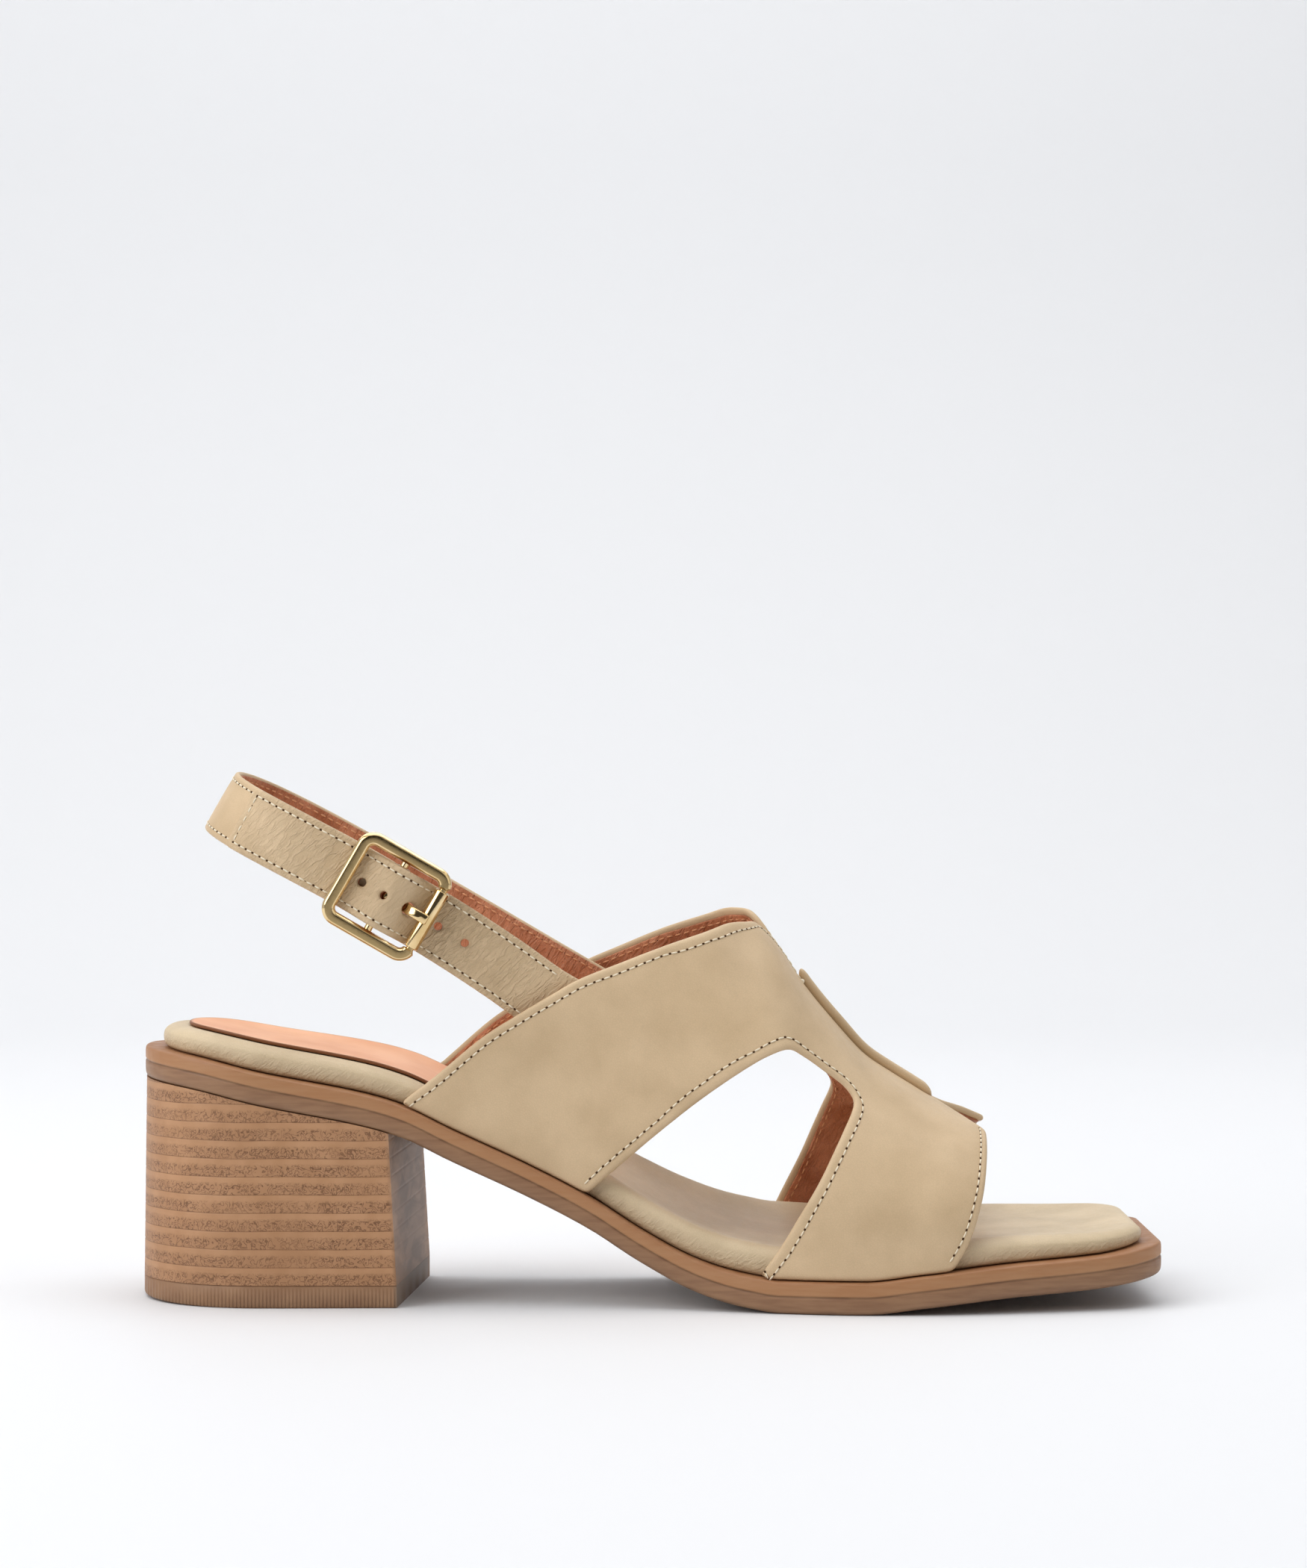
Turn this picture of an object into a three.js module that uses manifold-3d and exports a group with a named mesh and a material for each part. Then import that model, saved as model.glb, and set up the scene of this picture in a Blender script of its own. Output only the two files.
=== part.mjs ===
// A slingback sandal for the right foot, with a block heel and a buckle on its outer side.
// Lengths are millimetres. X runs from the heel to the toe, Y to the inner side and Z up.
// While it is built, X is 0 at the back of the heel, Y is 0 on the foot's axis and Z is 0 on the floor.
import * as THREE from "three";
import { mergeVertices } from "three/addons/utils/BufferGeometryUtils.js";
import Module from "manifold-3d";

// Driving dimensions: the last
const length = 248;
const ballWidth = 88;
const heelHeight = 54;
const toeSpring = 7.5;
const instepHeight = 70;
const toeCorner = 13;
const heelRoundness = 2.3;
const medialRise = 2.6;
const medialForward = 3;
const medialToeRise = 1;

// Driving dimensions: sole, heel and footbed
const soleThickness = 7.6;
const sideGrooveDepth = 0.5;
const ledge = 4.4;
const footbedThickness = 7.6;
const footbedCorner = 18;
const dishWidth = 16;
const sockThickness = 0.8;
const sockInset = 10.5;
const sockLength = 106;
const topPieceThickness = 5.4;
const topPieceWear = 0.6;
const heelLengthOuter = 62;
const heelLengthInner = 66.5;
const heelFlare = 2;
const heelInset = 0.3;

// Driving dimensions: the upper
const wall = 2;
const upperSeatSlack = 0.3;
const seamWidth = 3.4;
const seamHeight = 2.2;
const openingMedialBack = 5;

// Driving dimensions: the sling and its buckle
const strapWidth = 16;
const strapThickness = 1.8;
const slingAngle = 30;
const slingReach = 92.5;
const slingHalfWidth = 25;
const slingBendLength = 34.5;
const slingTuck = 12;
const slingBow = 2.8;
const slingInnerLift = 1.5;
const tailLength = 86;
const holeSpacing = 7.6;
const holeDiameter = 2;
const buckleAt = 45.1;
const buckleLength = 25.3;
const buckleWidth = 24.8;
const buckleBar = 3.2;
const buckleBarHeight = 2.6;
const buckleCorner = 2.8;
const buckleLift = 4.9;
const rollerBar = 2;
const rollerDiameter = 3.6;
const centreBar = 2;
const centreBarDrop = 1.7;
const strapLoopWall = 0.65;
const prongWidth = 2.5;
const prongThickness = 1.3;
const prongSlot = 5;
const prongSlotWidth = 3.5;

// The gap between pieces that touch
const gap = 0.3;

// Underside of the sole: shares of the heel height and of the toe spring, along the length
const soleRows = [
  { at: 0.0, heel: 1.0, toe: 0 },
  { at: 0.06, heel: 0.963, toe: 0 },
  { at: 0.124, heel: 0.896, toe: 0 },
  { at: 0.226, heel: 0.803, toe: 0 },
  { at: 0.262, heel: 0.752, toe: 0 },
  { at: 0.307, heel: 0.652, toe: 0 },
  { at: 0.381, heel: 0.494, toe: 0 },
  { at: 0.443, heel: 0.346, toe: 0 },
  { at: 0.49, heel: 0.21, toe: 0 },
  { at: 0.539, heel: 0.092, toe: 0 },
  { at: 0.572, heel: 0.041, toe: 0 },
  { at: 0.6, heel: 0.015, toe: 0 },
  { at: 0.625, heel: 0, toe: 0 },
  { at: 0.705, heel: 0, toe: 0 },
  { at: 0.76, heel: 0, toe: 0.2 },
  { at: 0.845, heel: 0, toe: 0.5 },
  { at: 0.93, heel: 0, toe: 0.7 },
  { at: 0.96, heel: 0, toe: 0.82 },
  { at: 1.0, heel: 0, toe: 1.0 },
];

// Outline of the sole: half widths as shares of the ball width
const outlineRows = [
  { at: 0.0, outer: 0.33, inner: 0.33 },
  { at: 0.12, outer: 0.352, inner: 0.352 },
  { at: 0.25, outer: 0.345, inner: 0.34 },
  { at: 0.4, outer: 0.338, inner: 0.288 },
  { at: 0.5, outer: 0.368, inner: 0.3 },
  { at: 0.62, outer: 0.455, inner: 0.4 },
  { at: 0.7, outer: 0.492, inner: 0.475 },
  { at: 0.76, outer: 0.495, inner: 0.502 },
  { at: 0.86, outer: 0.455, inner: 0.498 },
  { at: 0.94, outer: 0.4, inner: 0.475 },
  { at: 1.0, outer: 0.35, inner: 0.44 },
];

// Side of the sole from its bottom edge to its top edge: the groove runs between two bands
const soleSideRows = [
  { level: 0, inset: 0.9 },
  { level: 0.1, inset: 0.15 },
  { level: 0.5, inset: 0 },
  { level: 0.55, inset: sideGrooveDepth },
  { level: 0.6, inset: 0 },
  { level: 0.94, inset: 0.1 },
  { level: 1, inset: 0.6 },
];

// Side and dished top of the footbed: shares of its rim's height, in from its widest line to the dish
const footbedRows = [
  { level: 0, inset: 0.056 },
  { level: 0.22, inset: 0.009 },
  { level: 0.45, inset: 0 },
  { level: 0.7, inset: 0.022 },
  { level: 0.9, inset: 0.1 },
  { level: 1, inset: 0.225 },
  { level: 0.97, inset: 0.406 },
  { level: 0.88, inset: 0.688 },
  { level: 0.83, inset: 1 },
];

// Rim of the footbed along the length, as a share of its thickness: the inner side rises along the arch
const footbedRimRows = [
  { at: 0.0, outer: 0.75, inner: 0.78 },
  { at: 0.05, outer: 0.8, inner: 0.82 },
  { at: 0.12, outer: 0.88, inner: 0.95 },
  { at: 0.28, outer: 0.88, inner: 1.18 },
  { at: 0.43, outer: 1.0, inner: 1.6 },
  { at: 0.53, outer: 1.03, inner: 1.79 },
  { at: 0.585, outer: 1.0, inner: 1.66 },
  { at: 0.655, outer: 1.0, inner: 1.45 },
  { at: 0.75, outer: 0.95, inner: 1.12 },
  { at: 0.847, outer: 0.82, inner: 0.82 },
  { at: 0.948, outer: 0.63, inner: 0.63 },
  { at: 1.0, outer: 0.55, inner: 0.55 },
];

// Ridge of the upper over the sole, as a share of the instep height, and how full its sections are
const ridgeRows = [
  { at: 0.2, up: 1.42, fullness: 2.3 },
  { at: 0.43, up: 1.511, fullness: 2.3 },
  { at: 0.512, up: 1.482, fullness: 2.3 },
  { at: 0.556, up: 1.377, fullness: 2.25 },
  { at: 0.597, up: 1.225, fullness: 2.2 },
  { at: 0.6125, up: 1.18, fullness: 2.2 },
  { at: 0.6255, up: 1.13, fullness: 2.2 },
  { at: 0.64, up: 1.054, fullness: 2.2 },
  { at: 0.651, up: 0.992, fullness: 2.2 },
  { at: 0.69, up: 0.823, fullness: 2.2 },
  { at: 0.713, up: 0.735, fullness: 2.2 },
  { at: 0.735, up: 0.672, fullness: 2.2 },
  { at: 0.758, up: 0.61, fullness: 2.2 },
  { at: 0.781, up: 0.552, fullness: 2.2 },
  { at: 0.827, up: 0.462, fullness: 2.2 },
  { at: 0.88, up: 0.394, fullness: 2.2 },
];

// Back edge of the upper from the sole to the peak beside the throat
const backEdgeRows = [
  { at: 0.232, up: -0.14 },
  { at: 0.258, up: 0.0 },
  { at: 0.292, up: 0.15 },
  { at: 0.336, up: 0.354 },
  { at: 0.369, up: 0.484 },
  { at: 0.402, up: 0.611 },
  { at: 0.431, up: 0.723 },
  { at: 0.469, up: 0.859 },
  { at: 0.513, up: 1.012 },
  { at: 0.558, up: 1.136 },
  { at: 0.58, up: 1.183 },
  { at: 0.6, up: 1.196 },
];

// The throat beside the seam, from its wide end down to its apex: half width as a share of the ball width
const throatRows = [
  { at: 0.575, across: 0.165 },
  { at: 0.59, across: 0.121 },
  { at: 0.5975, across: 0.094 },
  { at: 0.61, across: 0.052 },
  { at: 0.6255, across: 0.03 },
  { at: 0.64, across: 0.015 },
  { at: 0.651, across: 0 },
];

// Side opening between the back band and the front band
const openingRows = [
  { at: 0.42, up: -0.1 },
  { at: 0.443, up: 0.024 },
  { at: 0.479, up: 0.217 },
  { at: 0.511, up: 0.38 },
  { at: 0.549, up: 0.551 },
  { at: 0.587, up: 0.682 },
  { at: 0.6125, up: 0.75 },
  { at: 0.636, up: 0.781 },
  { at: 0.653, up: 0.754 },
  { at: 0.6735, up: 0.703 },
  { at: 0.693, up: 0.653 },
  { at: 0.6993, up: 0.615 },
  { at: 0.697, up: 0.577 },
  { at: 0.688, up: 0.516 },
  { at: 0.676, up: 0.433 },
  { at: 0.661, up: 0.329 },
  { at: 0.642, up: 0.215 },
  { at: 0.6254, up: 0.115 },
  { at: 0.6087, up: 0.024 },
  { at: 0.588, up: -0.1 },
];

// Front edge of the upper from the sole to its corner beside the toe notch
const frontEdgeRows = [
  { at: 0.776, up: -0.1 },
  { at: 0.79, up: 0.0 },
  { at: 0.806, up: 0.092 },
  { at: 0.819, up: 0.228 },
  { at: 0.827, up: 0.364 },
  { at: 0.8305, up: 0.434 },
];

// Height of each strap over the sling's own line, as a share of the buckle's lift,
// along that line from the buckle's middle, as a share of the buckle's length
const frontStrapRows = [
  { at: -1.79, lift: 0 },
  { at: -0.79, lift: 0.214 },
  { at: -0.4375, lift: 0.37 },
  { at: -0.29, lift: 0.633 },
  { at: -0.15, lift: 1.143 },
  { at: 0, lift: 1.347 },
  { at: 0.125, lift: 1.122 },
  { at: 0.29, lift: 0.673 },
  { at: 0.458, lift: 0.449 },
  { at: 0.79, lift: 0.429 },
];
const rearStrapRows = [
  { at: 0.067, lift: 0.429 },
  { at: 0.208, lift: 0.265 },
  { at: 0.375, lift: 0.04 },
  { at: 0.5, lift: 0 },
];

const throatAt = 0.651;
const peakAt = 0.597;
const medialEvenAt = 0.63;
const toeNotchAt = 0.781;
const toeNotchFrontAt = 0.828;
const toeNotchShare = 0.17;
const medialToeFrom = 0.785;
const medialToeFull = 0.82;
const slingRootAt = 0.397;
const slingRootUp = 0.593;

const wasm = await Module();
wasm.setup();

// A value of a table at one place, along a curve that doesn't overshoot its rows
function follow(rows, column, at) {
  const last = rows.length - 1;
  if (at <= rows[0].at) return rows[0][column];
  if (at >= rows[last].at) return rows[last][column];
  const slope = (k) =>
    (rows[k + 1][column] - rows[k][column]) / (rows[k + 1].at - rows[k].at);
  const tangent = (k) => {
    if (k === 0) return slope(0);
    if (k === last) return slope(last - 1);
    const before = slope(k - 1);
    const after = slope(k);
    return before * after <= 0 ? 0 : (2 * before * after) / (before + after);
  };
  let i = 0;
  while (rows[i + 1].at < at) i += 1;
  const reach = rows[i + 1].at - rows[i].at;
  const t = (at - rows[i].at) / reach;
  const a = rows[i][column];
  const b = rows[i + 1][column];
  const curve = a * (1 + 2 * t) * (1 - t) ** 2 + b * t * t * (3 - 2 * t);
  return curve + reach * (tangent(i) * t * (1 - t) ** 2 - tangent(i + 1) * t * t * (1 - t));
}

// A smooth line through the rows of an edge, in the plane of X and Z
function edgeLine(rows, count, rise = 0, forward = 0) {
  const points = rows.map(({ at, up }) => {
    const high = Math.max(0, Math.min(1, up));
    const x = at * length + forward * high;
    return new THREE.Vector2(x, soleTop(at * length) + up * instepHeight + rise * high);
  });
  return new THREE.SplineCurve(points).getPoints(count);
}

function soleBottom(x) {
  const at = x / length;
  return heelHeight * follow(soleRows, "heel", at) + toeSpring * follow(soleRows, "toe", at);
}

function soleTop(x) {
  return soleBottom(x) + soleThickness;
}

// A smooth step from 0 at one place to 1 at another
function smooth(from, to, at) {
  const share = Math.max(0, Math.min(1, (at - from) / (to - from)));
  return share * share * (3 - 2 * share);
}

// Half width of the sole's outline at x, for an outline that is set in all round
function halfWidth(side, x, inset, toeRadius = toeCorner) {
  const full = ballWidth * follow(outlineRows, side, x / length) - inset;
  const heelShare = Math.min(1, Math.max(0, (x - inset) / full));
  const heelRound = (1 - (1 - heelShare) ** heelRoundness) ** (1 / heelRoundness);
  const corner = Math.max(toeRadius - inset, wall);
  const past = Math.min(corner, Math.max(0, corner - (length - inset - x)));
  return full * heelRound - (corner - Math.sqrt(corner ** 2 - past ** 2));
}

// Places along a length, close together at both ends
function places(count) {
  const shares = [];
  for (let k = 0; k <= count; k += 1) {
    const turn = 0.015 + (0.97 * k) / count;
    shares.push((1 - Math.cos(Math.PI * turn)) / 2);
  }
  return shares;
}

// A closed ring of the outline, out along the outer side and back along the inner side
function soleRing(inset, heightAt, toeRadius = toeCorner) {
  const count = 42;
  const along = places(count).map((share) => inset + share * (length - 2 * inset));
  const point = (x, y) => new THREE.Vector3(x, y, heightAt(x, y));
  const outer = along.map((x) => point(x, -halfWidth("outer", x, inset, toeRadius)));
  const inner = along.map((x) => point(x, halfWidth("inner", x, inset, toeRadius)));
  return [...outer, ...inner.reverse()];
}

// Rings of points closed into one body: point k of a ring lies across from the k-th point from its end
function stack(rings) {
  const count = rings[0].length;
  const faces = [];
  const quad = (a, b, c, d) => faces.push(a, b, c, a, c, d);
  for (let r = 0; r < rings.length - 1; r += 1) {
    for (let k = 0; k < count; k += 1) {
      const low = r * count;
      const next = (k + 1) % count;
      quad(low + k, low + next, low + count + next, low + count + k);
    }
  }
  const top = (rings.length - 1) * count;
  for (let k = 0; k < count / 2 - 1; k += 1) {
    const across = count - 1 - k;
    quad(k, across, across - 1, k + 1);
    quad(top + k, top + k + 1, top + across - 1, top + across);
  }
  return indexed(rings.flat(), faces);
}

// Rings of points round a closed path
function closedTube(rings) {
  const count = rings[0].length;
  const faces = [];
  rings.forEach((ring, r) => {
    const low = r * count;
    const high = ((r + 1) % rings.length) * count;
    for (let k = 0; k < count; k += 1) {
      const next = (k + 1) % count;
      faces.push(low + k, low + next, high + next, low + k, high + next, high + k);
    }
  });
  return indexed(rings.flat(), faces);
}

function indexed(points, faces) {
  const geometry = new THREE.BufferGeometry().setFromPoints(points);
  geometry.setIndex(faces);
  return geometry;
}

function solid(geometry) {
  const bare = geometry.clone();
  bare.deleteAttribute("normal");
  bare.deleteAttribute("uv");
  const merged = mergeVertices(bare, 1e-4);
  const mesh = new wasm.Mesh({
    numProp: 3,
    vertProperties: new Float32Array(merged.attributes.position.array),
    triVerts: new Uint32Array(merged.index.array),
  });
  return new wasm.Manifold(mesh);
}

function geometryOf(body) {
  const mesh = body.getMesh();
  const geometry = new THREE.BufferGeometry();
  geometry.setAttribute("position", new THREE.BufferAttribute(mesh.vertProperties, 3));
  geometry.setIndex(new THREE.BufferAttribute(mesh.triVerts, 1));
  return geometry;
}

// A prism across the shoe whose outline is drawn in the plane of X and Z
function sidePrism(points, yLow, yHigh) {
  const geometry = new THREE.ExtrudeGeometry(new THREE.Shape(points), {
    depth: yHigh - yLow,
    bevelEnabled: false,
  });
  return solid(geometry.rotateX(Math.PI / 2).translate(0, yHigh, 0));
}

// A prism up through the shoe whose outline is drawn from above
function topPrism(points, zLow, zHigh) {
  const geometry = new THREE.ExtrudeGeometry(new THREE.Shape(points), {
    depth: zHigh - zLow,
    bevelEnabled: false,
  });
  return solid(geometry.translate(0, 0, zLow));
}

function makeOutsole() {
  const rings = soleSideRows.map(({ level, inset }) =>
    soleRing(inset, (x) => soleBottom(x) + level * soleThickness),
  );
  return stack(rings);
}

// A ring of the heel, cut off at its front face, which stands further forward on the inner side
function heelRing(share, inset, heightAt) {
  const flare = heelFlare * (1 - share);
  const turns = places(44).filter((at) => at < 0.5);
  const along = [...turns.map((at) => 2 * at), 1];
  const point = (side, reach, s) => {
    const x = s * (reach + flare) - (1 - s) * flare * 0.3 + inset * (1 - s);
    const y = halfWidth(side, Math.max(s * reach, turns[0]) + inset * (1 - s), inset);
    return new THREE.Vector3(x, side === "outer" ? -y : y, heightAt(x));
  };
  const outer = along.map((s) => point("outer", heelLengthOuter, s));
  const inner = along.map((s) => point("inner", heelLengthInner, s));
  return [...outer, ...inner.reverse()];
}

function makeHeelBlock() {
  const low = topPieceThickness;
  const rings = [0, 0.33, 0.67, 1].map((share) =>
    heelRing(share, heelInset, (x) => low + share * (soleBottom(x) - gap - low)),
  );
  return stack(rings);
}

function makeTopPiece() {
  const wornLength = heelLengthOuter * 0.45;
  const worn = (x) => topPieceWear * Math.max(0, 1 - Math.max(0, x) / wornLength) ** 2;
  const high = topPieceThickness - gap;
  const rings = [
    heelRing(0, heelInset + 0.5, worn),
    heelRing(0, heelInset, (x) => Math.min(worn(x) + 0.5, high - 0.5)),
    heelRing(0, heelInset, () => high),
  ];
  return stack(rings);
}

// Height of the footbed's rim over the sole, blended from the outer side to the inner side of the waist
function rimHeight(x, y) {
  const waist = 0.3 * ballWidth;
  const inward = smooth(-waist, waist, y);
  const outer = follow(footbedRimRows, "outer", x / length);
  const inner = follow(footbedRimRows, "inner", x / length);
  return footbedThickness * (outer + (inner - outer) * inward) - gap;
}

function makeFootbed() {
  const rings = footbedRows.map(({ level, inset }) =>
    soleRing(
      ledge + inset * dishWidth,
      (x, y) => soleTop(x) + gap + level * rimHeight(x, y),
      footbedCorner,
    ),
  );
  return stack(rings);
}

// The sock is a thin skin over the footbed's own top
function makeHeelSock(footbed) {
  const body = solid(footbed);
  const over = body.translate(0, 0, gap + sockThickness);
  const under = body.translate(0, 0, gap);
  const back = sockInset;
  const shares = places(24);
  const outlineAt = (side, s) => {
    const x = back + s * (sockLength - back);
    const frontRound = Math.sqrt(Math.max(0, 1 - Math.max(0, (s - 0.8) / 0.2) ** 2));
    return new THREE.Vector2(x, halfWidth(side, x, sockInset) * frontRound);
  };
  const outer = shares.map((s) => outlineAt("outer", s)).map((p) => new THREE.Vector2(p.x, -p.y));
  const inner = shares.map((s) => outlineAt("inner", s)).reverse();
  const cutter = topPrism([...outer, ...inner], 0, heelHeight * 2);
  return geometryOf(over.subtract(under).intersect(cutter));
}

function ridge(x) {
  return soleTop(x) + instepHeight * follow(ridgeRows, "up", x / length);
}

// How much longer a line along the ridge is than its length in X
function ridgeStretch(x) {
  const slope = (ridge(x + 1) - ridge(x - 1)) / 2;
  return Math.sqrt(1 + slope * slope);
}

// The inner half of the upper stands a little higher, behind the throat and in front of the toe notch
function medialLift(side, x) {
  if (side === "outer") return 0;
  const behind = 1 - smooth(peakAt, medialEvenAt, x / length);
  return medialRise * behind + medialToeRise * smooth(medialToeFrom, medialToeFull, x / length);
}

// Half section of the upper at x: a straight side beside the footbed, then an arch to the ridge
function upperSection(side, x, thickness) {
  const inset = ledge - gap - wall - upperSeatSlack + thickness;
  const width = halfWidth(side, x, inset);
  const rim = soleTop(x) + footbedThickness;
  const rise = ridge(x) + medialLift(side, x) - thickness * ridgeStretch(x) - rim;
  const power = 2 / follow(ridgeRows, "fullness", x / length);
  const steps = 14;
  const points = [new THREE.Vector2(width, soleTop(x) - soleThickness - thickness * 2)];
  for (let k = 0; k <= steps; k += 1) {
    const angle = ((Math.PI / 2) * k) / (steps + 0.4);
    points.push(new THREE.Vector2(width * Math.cos(angle) ** power, rim + rise * Math.sin(angle) ** power));
  }
  return points;
}

function upperLoft(thickness) {
  const from = 0.225 * length - thickness;
  const to = 0.87 * length + thickness;
  const count = 26;
  const rings = [];
  for (let k = 0; k <= count; k += 1) {
    const x = from + ((to - from) * k) / count;
    const inner = upperSection("inner", x, thickness);
    const outer = upperSection("outer", x, thickness);
    rings.push([
      ...inner.map((p) => new THREE.Vector3(x, p.x, p.y)),
      ...outer.reverse().map((p) => new THREE.Vector3(x, -p.x, p.y)),
    ]);
  }
  return solid(stack(rings));
}

// Everything behind the back edge, on one side of the foot
function backCutter(yLow, yHigh, rise) {
  const edge = edgeLine(backEdgeRows, 26, rise);
  const peak = edge[edge.length - 1];
  const high = ridge(0.43 * length) + instepHeight;
  const behind = -length * 0.1;
  const corners = [new THREE.Vector2(peak.x, high), new THREE.Vector2(behind, high)];
  const floor = new THREE.Vector2(behind, edge[0].y);
  return sidePrism([...edge, ...corners, floor], yLow, yHigh);
}

function frontCutter(yLow, yHigh, forward) {
  const edge = edgeLine(frontEdgeRows, 12, 0, forward);
  const corner = edge[edge.length - 1];
  const ahead = length * 1.1;
  const high = corner.y + instepHeight;
  const points = [
    new THREE.Vector2(ahead, edge[0].y),
    new THREE.Vector2(ahead, high),
    new THREE.Vector2(corner.x, high),
    ...edge.reverse(),
  ];
  return sidePrism(points, yLow, yHigh);
}

function soleCutter() {
  const points = [];
  for (let k = 0; k <= 40; k += 1) {
    const x = length * (0.15 + (0.8 * k) / 40);
    points.push(new THREE.Vector2(x, soleTop(x) + gap));
  }
  const deep = -heelHeight;
  const low = [new THREE.Vector2(length * 0.95, deep), new THREE.Vector2(length * 0.15, deep)];
  return sidePrism([...points, ...low].reverse(), -ballWidth, ballWidth);
}

// The throat, which parts the two sides behind the seam
function throatCutter() {
  const side = throatRows.map(({ at, across }) => new THREE.Vector2(at * length, across * ballWidth));
  const wide = new THREE.Vector2(side[0].x - ballWidth * 0.2, side[0].y);
  const inner = [wide, ...side];
  const outer = inner.slice(0, -1).map((p) => new THREE.Vector2(p.x, -p.y));
  return topPrism([...outer, ...inner.reverse()], 0, ridge(0.43 * length) + instepHeight);
}

// The notch at the toe, which parts the two sides in front of the seam
function toeNotchCutter() {
  const apex = toeNotchAt * length;
  const mouth = toeNotchFrontAt * length;
  const reach = 2.2;
  const spread = toeNotchShare * ballWidth * reach;
  const points = [
    new THREE.Vector2(apex, 0),
    new THREE.Vector2(apex + (mouth - apex) * reach, -spread),
    new THREE.Vector2(apex + (mouth + medialForward - apex) * reach, spread),
  ];
  return topPrism(points, 0, ridge(mouth) + instepHeight);
}

// The raised seam stands on the ridge between the two notches, with rounded ends
function makeSeam() {
  const from = throatAt * length - 0.5;
  const to = toeNotchAt * length;
  const count = 22;
  const half = seamWidth / 2;
  const rings = [];
  for (let k = 0; k <= count; k += 1) {
    const share = (1 - Math.cos((Math.PI * k) / count)) / 2;
    const x = from + (to - from) * share;
    const fromEnd = Math.min(x - from, to - x) / seamHeight;
    const round = fromEnd < 1 ? Math.sqrt(1 - (1 - fromEnd) ** 2) : 1;
    const base = ridge(x) - 0.5 * wall * ridgeStretch(x);
    const crest = ridge(x) + seamHeight * ridgeStretch(x) * (0.25 + 0.75 * round);
    const level = (s) => base + (crest - base) * s;
    const profile = [
      [half, 0],
      [half, 0.62],
      [half * 0.75, 0.9],
      [half * 0.3, 1],
    ];
    rings.push([
      ...profile.map(([y, s]) => new THREE.Vector3(x, y, level(s))),
      ...profile.reverse().map(([y, s]) => new THREE.Vector3(x, -y, level(s))),
    ]);
  }
  return solid(stack(rings));
}

function makeUpper() {
  const outerOpening = sidePrism(edgeLine(openingRows, 44), -ballWidth, 0);
  const innerOpening = sidePrism(edgeLine(openingRows, 44, 0, -openingMedialBack), 0, ballWidth);
  const overlap = 0.5;
  const body = upperLoft(0)
    .subtract(upperLoft(wall))
    .subtract(backCutter(-ballWidth, overlap, 0))
    .subtract(backCutter(-overlap, ballWidth, medialRise))
    .subtract(frontCutter(-ballWidth, overlap, 0))
    .subtract(frontCutter(-overlap, ballWidth, medialForward))
    .subtract(outerOpening)
    .subtract(innerOpening)
    .subtract(throatCutter())
    .subtract(toeNotchCutter())
    .subtract(soleCutter());
  return geometryOf(body.add(makeSeam()));
}

// The sling lies in a plane that rises to the back: along it, across the shoe, and square to it
const slope = THREE.MathUtils.degToRad(slingAngle);
const slingAlong = new THREE.Vector3(-Math.cos(slope), 0, Math.sin(slope));
const slingUp = new THREE.Vector3(Math.sin(slope), 0, Math.cos(slope));
const rootX = slingRootAt * length;
const slingRoot = new THREE.Vector3(rootX, 0, soleTop(rootX) + slingRootUp * instepHeight);

// Where a strap lies against the inside of the upper on one side
function tuckY(side) {
  const inside = upperSection(side, rootX, wall);
  const high = slingRoot.z + strapWidth / 2;
  const beside = inside.find((p) => p.y > high);
  return beside.x - gap - strapThickness / 2 - 0.3;
}

// The sling bows up a little on its way to the back, and its inner side lies higher
function slingPoint(u, y) {
  const inward = (y + slingHalfWidth) / (2 * slingHalfWidth);
  const s = Math.max(0, u / slingReach);
  const bow = slingBow * 4 * s * (1 - s) * (1 - inward);
  const rise = bow + inward * (medialRise + slingInnerLift * (1 - s));
  return slingRoot
    .clone()
    .addScaledVector(slingAlong, u)
    .addScaledVector(slingUp, rise)
    .setY(y);
}

function makeSlingCurve() {
  const outerRoot = -tuckY("outer");
  const innerRoot = tuckY("inner");
  const bendFrom = slingReach - slingBendLength;
  const points = [];
  const run = (from, to, root, side) => {
    for (let k = 0; k <= 6; k += 1) {
      const u = from + ((to - from) * k) / 6;
      const share = Math.max(0, Math.min(1, u / bendFrom));
      const ease = share * share * (3 - 2 * share);
      points.push(slingPoint(u, root + (side * slingHalfWidth - root) * ease));
    }
  };
  run(-slingTuck, bendFrom, outerRoot, -1);
  for (let k = 1; k < 10; k += 1) {
    const angle = (Math.PI * k) / 10;
    const u = bendFrom + slingBendLength * Math.sin(angle);
    points.push(slingPoint(u, -slingHalfWidth * Math.cos(angle)));
  }
  run(bendFrom, -slingTuck, innerRoot, 1);
  return new THREE.CatmullRomCurve3(points, false, "centripetal");
}

const slingCurve = makeSlingCurve();
slingCurve.arcLengthDivisions = 800;
const slingLength = slingCurve.getLength();

// Place on the sling line, counted from the edge of the outer side of the upper
function slingFrame(at) {
  const share = Math.max(0, Math.min(1, (at + slingTuck) / slingLength));
  const origin = slingCurve.getPointAt(share);
  const along = slingCurve.getTangentAt(share);
  const out = new THREE.Vector3().crossVectors(slingUp, along).normalize();
  const up = new THREE.Vector3().crossVectors(along, out).normalize();
  return { origin, along, out, up };
}

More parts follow.
